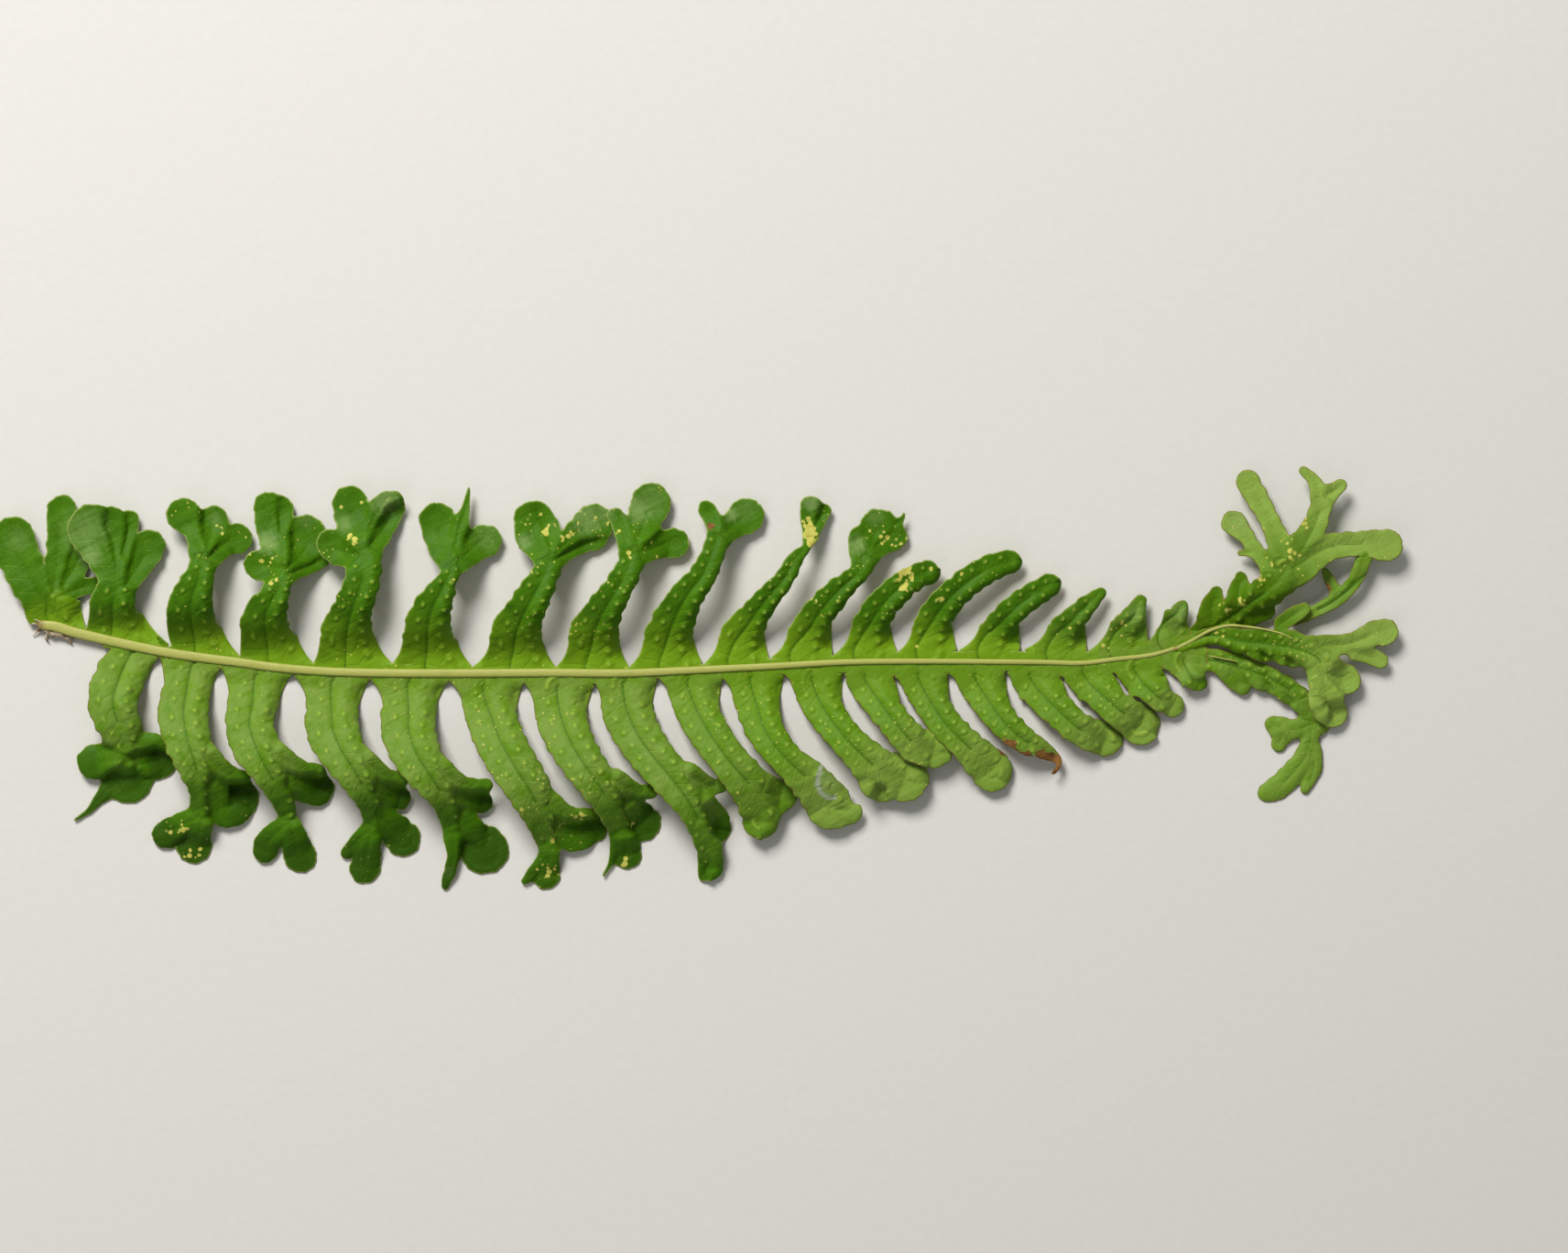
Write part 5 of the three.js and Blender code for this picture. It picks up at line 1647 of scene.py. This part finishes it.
class Mixer:
    """The nodes of one material, round its Principled shader."""

    def __init__(self, name: str) -> None:
        """Starts the material.

        Args:
            name: the material's name.
        """
        self.material = bpy.data.materials.new(name)
        self.material.use_nodes = True
        self.tree = self.material.node_tree
        self.shader = self.tree.nodes["Principled BSDF"]
        self.place = self.node("ShaderNodeTexCoord").outputs["Object"]

    def node(self, kind: str, settings: dict | None = None, values: dict | None = None) -> bpy.types.Node:
        """Adds a node.

        Args:
            kind: the node's type.
            settings: its own settings, set first.
            values: for each input's name or number, a signal, a socket or a plain value.

        Returns:
            The node.
        """
        node = self.tree.nodes.new(kind)
        for key, value in (settings or {}).items():
            setattr(node, key, value)
        for key, value in (values or {}).items():
            self.feed(node.inputs[key], value)
        return node

    def feed(self, socket: bpy.types.NodeSocket, value: object) -> None:
        """Links a signal or a socket to an input, or sets a plain value on it.

        Args:
            socket: the input.
            value: what it gets.
        """
        if isinstance(value, Signal):
            self.tree.links.new(value.socket, socket)
        elif isinstance(value, bpy.types.NodeSocket):
            self.tree.links.new(value, socket)
        else:
            socket.default_value = value

    def number(self, kind: str, settings: dict, values: dict) -> Signal:
        """Adds a node and gives its first output as a signal."""
        return Signal(self, self.node(kind, settings, values).outputs[0])

    def attribute(self, name: str) -> Signal:
        """A number kept at the vertices."""
        return Signal(self, self.node("ShaderNodeAttribute", {"attribute_name": name}).outputs["Fac"])

    def attributes(self, name: str) -> tuple[Signal, Signal, Signal]:
        """The three numbers of a vector kept at the vertices.

        Args:
            name: the vector's name.

        Returns:
            Its x, y and z.
        """
        vector = self.node("ShaderNodeAttribute", {"attribute_name": name}).outputs["Vector"]
        split = self.node("ShaderNodeSeparateXYZ", {}, {"Vector": vector})
        return tuple(Signal(self, output) for output in split.outputs)

    def noise(
        self, size: float, detail: float = 2.0, roughness: float = 0.5, vector: object = None
    ) -> Signal:
        """Cloudy noise between 0 and 1.

        Args:
            size: the clouds' size in millimetres.
            detail: octaves.
            roughness: how strong the finer octaves are.
            vector: what it is laid over, the object's own coordinates if nothing is given.

        Returns:
            The noise.
        """
        values = {
            "Vector": vector or self.place,
            "Scale": 1 / (size * METRES),
            "Detail": detail,
            "Roughness": roughness,
        }
        return self.number("ShaderNodeTexNoise", {}, values)

    def cells(self, size: float, randomness: float = 1.0) -> Signal:
        """The distance to the nearest of points scattered about as far apart as size, in millimetres."""
        values = {"Vector": self.place, "Scale": 1 / (size * METRES), "Randomness": randomness}
        return self.number("ShaderNodeTexVoronoi", {"feature": "F1"}, values)

    def blend(self, first: object, second: object, share: Signal | float) -> bpy.types.NodeSocket:
        """Mixes two colours.

        Args:
            first: the colour where share is 0.
            second: the colour where share is 1.
            share: how far the second colour covers the first.

        Returns:
            The mixed colour.
        """
        settings = {"data_type": "RGBA"}
        node = self.node("ShaderNodeMix", settings, {0: share, 6: first, 7: second})
        return node.outputs[2]

    def finish(
        self, base: object, roughness: Signal | float, height: Signal, depth: float, specular: float
    ) -> bpy.types.Material:
        """Feeds the shader.

        Args:
            base: the colour.
            roughness: the roughness.
            height: relief from 0 to 1 for the bump.
            depth: how high a relief of 1 stands, in millimetres.
            specular: the shader's specular level.

        Returns:
            The material.
        """
        values = {"Strength": 1.0, "Distance": depth * METRES, "Height": height}
        bump = self.node("ShaderNodeBump", {}, values)
        inputs = {
            "Base Color": base,
            "Roughness": roughness,
            "Normal": bump.outputs["Normal"],
            "Specular IOR Level": specular,
        }
        for name, value in inputs.items():
            self.feed(self.shader.inputs[name], value)
        return self.material


@dataclass(frozen=True)
class LeafFinish:
    """The blade: a green upper side with pale bumps and fine veins, and a paler, fertile under side."""

    deep: Colour = colour(54, 99, 2)
    lit: Colour = colour(80, 130, 4)
    fresh: Colour = colour(118, 157, 20)
    bump: Colour = colour(150, 178, 60)
    # Painted sheen colours: a milky green and a paler haze.
    sheen_milk: Colour = colour(124, 148, 66)
    sheen: Colour = colour(158, 182, 112)
    # Painted shade for the low-hanging crests.
    shaded: Colour = colour(44, 76, 2)
    edge: Colour = colour(166, 176, 96)
    tan: Colour = colour(128, 104, 44)
    yellow: Colour = colour(216, 208, 100)
    brown: Colour = colour(150, 106, 54)
    burnt: Colour = colour(62, 36, 20)
    silver: Colour = colour(190, 196, 176)
    pale: Colour = colour(128, 150, 70)
    sorus: Colour = colour(196, 140, 48)

    def material(self) -> bpy.types.Material:
        """Makes the material.

        Bumps, veins, edge and marks are laid over the green in turn, each by its distance or its share
        kept at the vertices. On the upper side painted sheen and painted light pale the lower row, the tip
        and the sheen patches, and painted shade darkens the low crests of some lower lobes. The under side
        has its own colours, and dead tissue covers both sides.

        Returns:
            The material.
        """
        mix = Mixer("leaf")
        run, off, sheen = mix.attributes("leaf")
        vein, sorus, rim = mix.attributes("relief")
        dry, patch, silver = mix.attributes("wear")
        share, fleck, painted_light = mix.attributes("tone")
        under = mix.attribute("under")

        cloud = mix.noise(9, 3, 0.55)
        mottle = mix.noise(2.4, 4, 0.6)
        grain = mix.noise(0.5, 3, 0.6)
        slant = run - abs(off) * SIDE_VEIN_SLANT + off * off * SIDE_VEIN_CURL
        side = abs((slant / SIDE_VEIN_PITCH + 0.5).fraction() - 0.5) * SIDE_VEIN_PITCH
        side_vein = side.rise(0.25, 0.05) * rim.rise(0.1, 1.2)

        light = (cloud * 0.5 + mottle * 0.6 + grain * 0.2 - 0.15).rise(0.1, 0.9)
        # Painted sheen and painted light: how much paler and milkier the colour is drawn, more on the tip's
        # branches and less on their feet.
        sheen_share = painted_light.rise(0.0, 1.0)
        tip = painted_light.rise(1.0, 1.5)
        crest_foot = painted_light.rise(1.35, 1.6) * share.rise(0.8, 0.4)
        base = mix.blend(self.deep, self.lit, light * 0.8 + sheen_share * 0.2 - crest_foot * 0.9)
        # Paler towards the midrib, and paler still under painted sheen.
        pale_base_and_sheen = sheen_share * 0.3 + share.rise(0.36, 0.06) * (0.85 - 0.6 * sheen_share)
        base = mix.blend(base, self.fresh, pale_base_and_sheen)
        base = mix.blend(base, self.fresh, side_vein * 0.08)
        # Painted sheen: mottled milky patches along the lobe.
        milky_sheen = sheen_share * (1 - tip) * share.rise(1.2, 0.6) * mottle.rise(0.25, 0.65)
        base = mix.blend(base, self.sheen_milk, milky_sheen * 0.6)
        # Painted light at the ends of the tip's branches, and painted sheen on them and on the sheen
        # patches.
        ends = tip * share.rise(0.45, 0.85)
        base = mix.blend(base, self.bump, ends * 0.6)
        painted_sheen = sheen * (0.3 + 0.35 * mottle) + ends * (0.1 + 0.25 * mottle)
        base = mix.blend(base, self.sheen, painted_sheen)
        # Painted shade on the low-hanging crests of the lower lobes.
        base = mix.blend(base, self.shaded, painted_light.rise(0.0, -1.0) * 0.8)
        base = mix.blend(base, self.bump, sorus.rise(0.5, 0.15) * 0.7)
        base = mix.blend(base, self.deep, vein.rise(0.35, 0.08) * 0.7)
        spots = mix.cells(1.1)
        spread = fleck * mix.noise(6, 2).rise(0.4, 0.62) * 0.18 + patch * mottle.rise(0.25, 0.6) * 0.5
        base = mix.blend(base, self.yellow, (spread - spots).rise(-0.08, 0.1) * 0.8)
        pale_edge = mix.blend(self.edge, self.tan, painted_light)
        base = mix.blend(base, pale_edge, rim.rise(0.26, 0.06) * (0.45 + mottle * 0.4))

        spores = mix.cells(0.16)
        disc = sorus.rise(0.9, 0.72)
        below = mix.blend(self.pale, self.lit, mottle.rise(0.3, 0.8) * 0.35)
        below = mix.blend(below, self.fresh, vein.rise(0.4, 0.2) * 0.5)
        below = mix.blend(below, self.sorus, disc * (0.75 + 0.25 * spores))
        base = mix.blend(base, below, under)

        base = mix.blend(base, self.silver, silver * (0.6 + 0.4 * grain))
        dead = mix.blend(self.brown, self.burnt, (mottle * 0.8 + grain * 0.5).rise(0.4, 0.95))
        base = mix.blend(base, dead, dry.rise(0.15, 0.5))

        roughness = 0.46 + 0.14 * mottle + 0.2 * under + 0.2 * dry.rise(0.15, 0.5) + 0.1 * silver
        height = 0.5 * grain + 0.35 * mix.cells(0.32) - 0.4 * side_vein * (1 - under)
        height = height + 0.5 * disc * under * spores + 0.35 * mottle
        return mix.finish(base, roughness, height, depth=0.09, specular=0.12)


@dataclass(frozen=True)
class RibFinish:
    """The midrib: pale yellow-green and finely streaked along, with an olive line low on each side."""

    ridge: Colour = colour(176, 178, 88)
    flank: Colour = colour(142, 156, 48)
    line: Colour = colour(104, 108, 14)
    torn: Colour = colour(132, 96, 58)
    streak_run: float = 0.0004
    streak_across: float = 0.004
    streak_up: float = 0.003

    def material(self) -> bpy.types.Material:
        """Makes the material.

        The streaks are noise stretched along the rib: the run is scaled down beside the section.

        Returns:
            The material.
        """
        mix = Mixer("rib")
        across, up, run = mix.attributes("rib")
        values = {0: run * self.streak_run, 1: across * self.streak_across, 2: up * self.streak_up}
        stretched = mix.node("ShaderNodeCombineXYZ", {}, values)
        streak = mix.noise(0.6, 4, 0.6, stretched.outputs[0])
        cloud = mix.noise(5, 2)
        base = mix.blend(self.flank, self.ridge, up.rise(0.2, 0.85))
        base = mix.blend(base, self.flank, streak.rise(0.5, 0.75) * 0.5 + cloud.rise(0.55, 0.75) * 0.3)
        side = abs(across).rise(0.8, 0.97)
        base = mix.blend(base, self.line, side * 0.85)
        base = mix.blend(base, self.torn, run.rise(1.6, 0.2) * (0.4 + 0.6 * streak))
        height = streak * 0.8 + mix.noise(0.4, 2) * 0.4
        return mix.finish(base, 0.4 + 0.2 * streak, height, depth=0.07, specular=0.45)


@dataclass(frozen=True)
class FibreFinish:
    """Torn fibres and dead scraps of skin at the foot of the midrib."""

    light: Colour = colour(206, 190, 160)
    dark: Colour = colour(104, 68, 42)

    def material(self) -> bpy.types.Material:
        """Makes the material.

        Returns:
            The material.
        """
        mix = Mixer("fibre")
        cloud = mix.noise(1.1, 4, 0.6)
        grain = mix.noise(0.25, 3)
        base = mix.blend(self.light, self.dark, cloud.rise(0.35, 0.65))
        return mix.finish(base, 0.75 + 0.15 * grain, grain, depth=0.08, specular=0.3)


@dataclass(frozen=True)
class FloorFinish:
    """The floor: plain and pale, with a hardly visible tooth."""

    pale: Colour = colour(226, 224, 218)
    worn: Colour = colour(220, 218, 212)

    def material(self) -> bpy.types.Material:
        """Makes the material.

        Returns:
            The material.
        """
        mix = Mixer("floor")
        tooth = mix.noise(1.5, 3)
        base = mix.blend(self.pale, self.worn, tooth)
        return mix.finish(base, 0.85 + 0.05 * tooth, tooth, depth=0.03, specular=0.2)


@dataclass
class Frond:
    """The whole frond: the blade's rows and branches, the midrib and its torn foot.

    The midrib is midrib_swell times as wide as it is drawn, starts midrib_low above the surface and
    loses midrib_fall of its height towards the tip. A rib of the tip is sunk by rib_sunk in the blade
    and stands rib_proud over the blade's middle surface.
    """

    spots_and_sheen: dict[Kind, list[Spot]]
    midrib_swell: float = 1.12
    midrib_low: float = 0.04
    midrib_fall: float = 0.25
    rib_sunk: float = 0.25
    rib_proud: float = 0.34

    def __post_init__(self) -> None:
        """Shapes the tip's middle branch, which carries the ribs."""
        self.middle = LobeShape(TIP_MIDDLE, Side.UP, 2.2)

    def keep(self, piece: bpy.types.Object, material: bpy.types.Material) -> None:
        """Dresses a piece, makes it ride and reports it.

        Args:
            piece: the piece.
            material: its finish.
        """
        piece.data.materials.append(material)
        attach(piece, BODY)
        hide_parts(NODE)
        LOG.info("%s: %d triangles", piece.name, len(piece.data.polygons))

    def make_blade(self, leaf: bpy.types.Material) -> None:
        """Makes the two rows of lobes and the loose branches of the tip.

        Args:
            leaf: the blade's finish.
        """
        blade = Blade(self.spots_and_sheen)
        upper = Row([*UPPER_LOBES, TIP_FIRST], UPPER_NOTCHES, Side.UP, 0.4)
        self.keep(blade.build("upper_lobes", upper.sheet()), leaf)
        lower = Row([*LOWER_LOBES, TIP_LAST], LOWER_NOTCHES, Side.DOWN, 5.1)
        self.keep(blade.build("lower_lobes", lower.sheet()), leaf)
        self.keep(blade.build("tip_middle", lone_sheet(self.middle)), leaf)
        strap = LobeShape(TIP_STRAP, Side.UP, 7.3)
        self.keep(blade.build("tip_strap", lone_sheet(strap)), leaf)

    def make_midrib(self, finish: bpy.types.Material) -> None:
        """Makes the midrib, and the ribs that it forks into at the tip.

        Args:
            finish: the midrib's finish.
        """
        line = smooth_line(np.array(MIDRIB))
        path = np.column_stack([on_frame(line[:, :2]), self.midrib_swell * line[:, 2]])
        run = np.linspace(0, 1, len(path))
        high = MIDRIB_HEIGHT - self.midrib_fall * smoothstep(run, 0.6, 1.0)
        parts = [Rib(path, np.full(len(path), self.midrib_low), high).surface()]
        for points in TIP_RIBS:
            line = smooth_line(np.array(points, float))
            path = np.column_stack([on_frame(line[:, :2]), line[:, 2]])
            reading = self.middle.read(path[:, :2])
            seat = reading.height + reading.bend
            rib = Rib(path, seat - self.rib_sunk, seat + self.rib_proud, around=12)
            parts.append(rib.surface())
        points, faces, marks = join(parts)
        self.keep(mesh_object("midrib", drawn_in(points), faces, {"rib": marks}), finish)

    def make_torn_foot(self, finish: bpy.types.Material) -> None:
        """Makes the fibres that hang from the end where the frond was pulled off.

        Args:
            finish: their finish.
        """
        parts = []
        for points in TORN_FIBRES:
            line = smooth_line(np.array(points, float), 6)
            path = np.column_stack([on_frame(line[:, :2]), line[:, 3]])
            fibre = Rib(path, line[:, 2] - line[:, 3], line[:, 2] + line[:, 3], around=8)
            parts.append(fibre.surface())
        points, faces, marks = join(parts)
        self.keep(mesh_object("torn_foot", drawn_in(points), faces, {"rib": marks}), finish)


@dataclass
class Studio:
    """A pale floor under the frond, a soft light from the frond's far side and a camera straight above."""

    floor_side: float = 3.0
    lens: float = 100.0
    sensor: float = 36.0
    surrounding: float = 0.22

    def make_floor(self) -> None:
        """Makes the floor, level with the lowest point that the frond may rest on."""
        s = self.floor_side / 2 / METRES
        points = np.array([[-s, -s, 0], [s, -s, 0], [s, s, 0], [-s, s, 0]], float)
        floor = mesh_object("floor", points, np.array([[0, 1, 2, 3]]), {})
        floor.data.materials.append(FloorFinish().material())

    def add_light(self, name: str, place: Point, size: float, power: float, tint: Point) -> None:
        """Adds a square soft light that faces the frond.

        Args:
            name: the light's name.
            place: where it stands, in metres.
            size: its side, in metres.
            power: in watts.
            tint: its colour.
        """
        light = bpy.data.lights.new(name, "AREA")
        light.shape = "SQUARE"
        light.size = size
        light.energy = power
        light.color = tint
        obj = bpy.data.objects.new(name, light)
        obj.location = place
        obj.rotation_euler = Vector(place).to_track_quat("Z", "Y").to_euler()
        bpy.context.scene.collection.objects.link(obj)

    def make_lights(self) -> None:
        """Adds the key, the fill and a pale surrounding."""
        self.add_light("key", (-0.38, 0.8, 0.8), 0.45, 16.0, (1.0, 0.985, 0.96))
        self.add_light("fill", (-0.6, -0.7, 0.7), 0.9, 1.2, (0.97, 0.98, 1.0))
        world = bpy.data.worlds.new("room")
        world.use_nodes = True
        inputs = world.node_tree.nodes["Background"].inputs
        inputs["Color"].default_value = (1.0, 1.0, 1.0, 1.0)
        inputs["Strength"].default_value = self.surrounding
        bpy.context.scene.world = world

    def make_camera(self) -> None:
        """Adds the camera over the middle of the sheet, so that the sheet fills its view."""
        camera = bpy.data.cameras.new("camera")
        camera.lens = self.lens
        camera.sensor_width = self.sensor
        camera.clip_start = 0.01
        obj = bpy.data.objects.new("camera", camera)
        x, y = on_frame(np.array([SHEET_SIZE]) / 2)[0] * METRES
        obj.location = (x, y, CAMERA_HEIGHT)
        bpy.context.scene.collection.objects.link(obj)
        bpy.context.scene.camera = obj
        bpy.context.scene.view_settings.view_transform = "Standard"


def main() -> None:
    """Builds the frond and the studio round it."""
    studio = Studio()
    studio.make_camera()
    studio.make_lights()
    studio.make_floor()
    frond = Frond(SPOTS_AND_SHEEN)
    frond.make_blade(LeafFinish().material())
    frond.make_midrib(RibFinish().material())
    frond.make_torn_foot(FibreFinish().material())


if __name__ == "__main__":
    main()
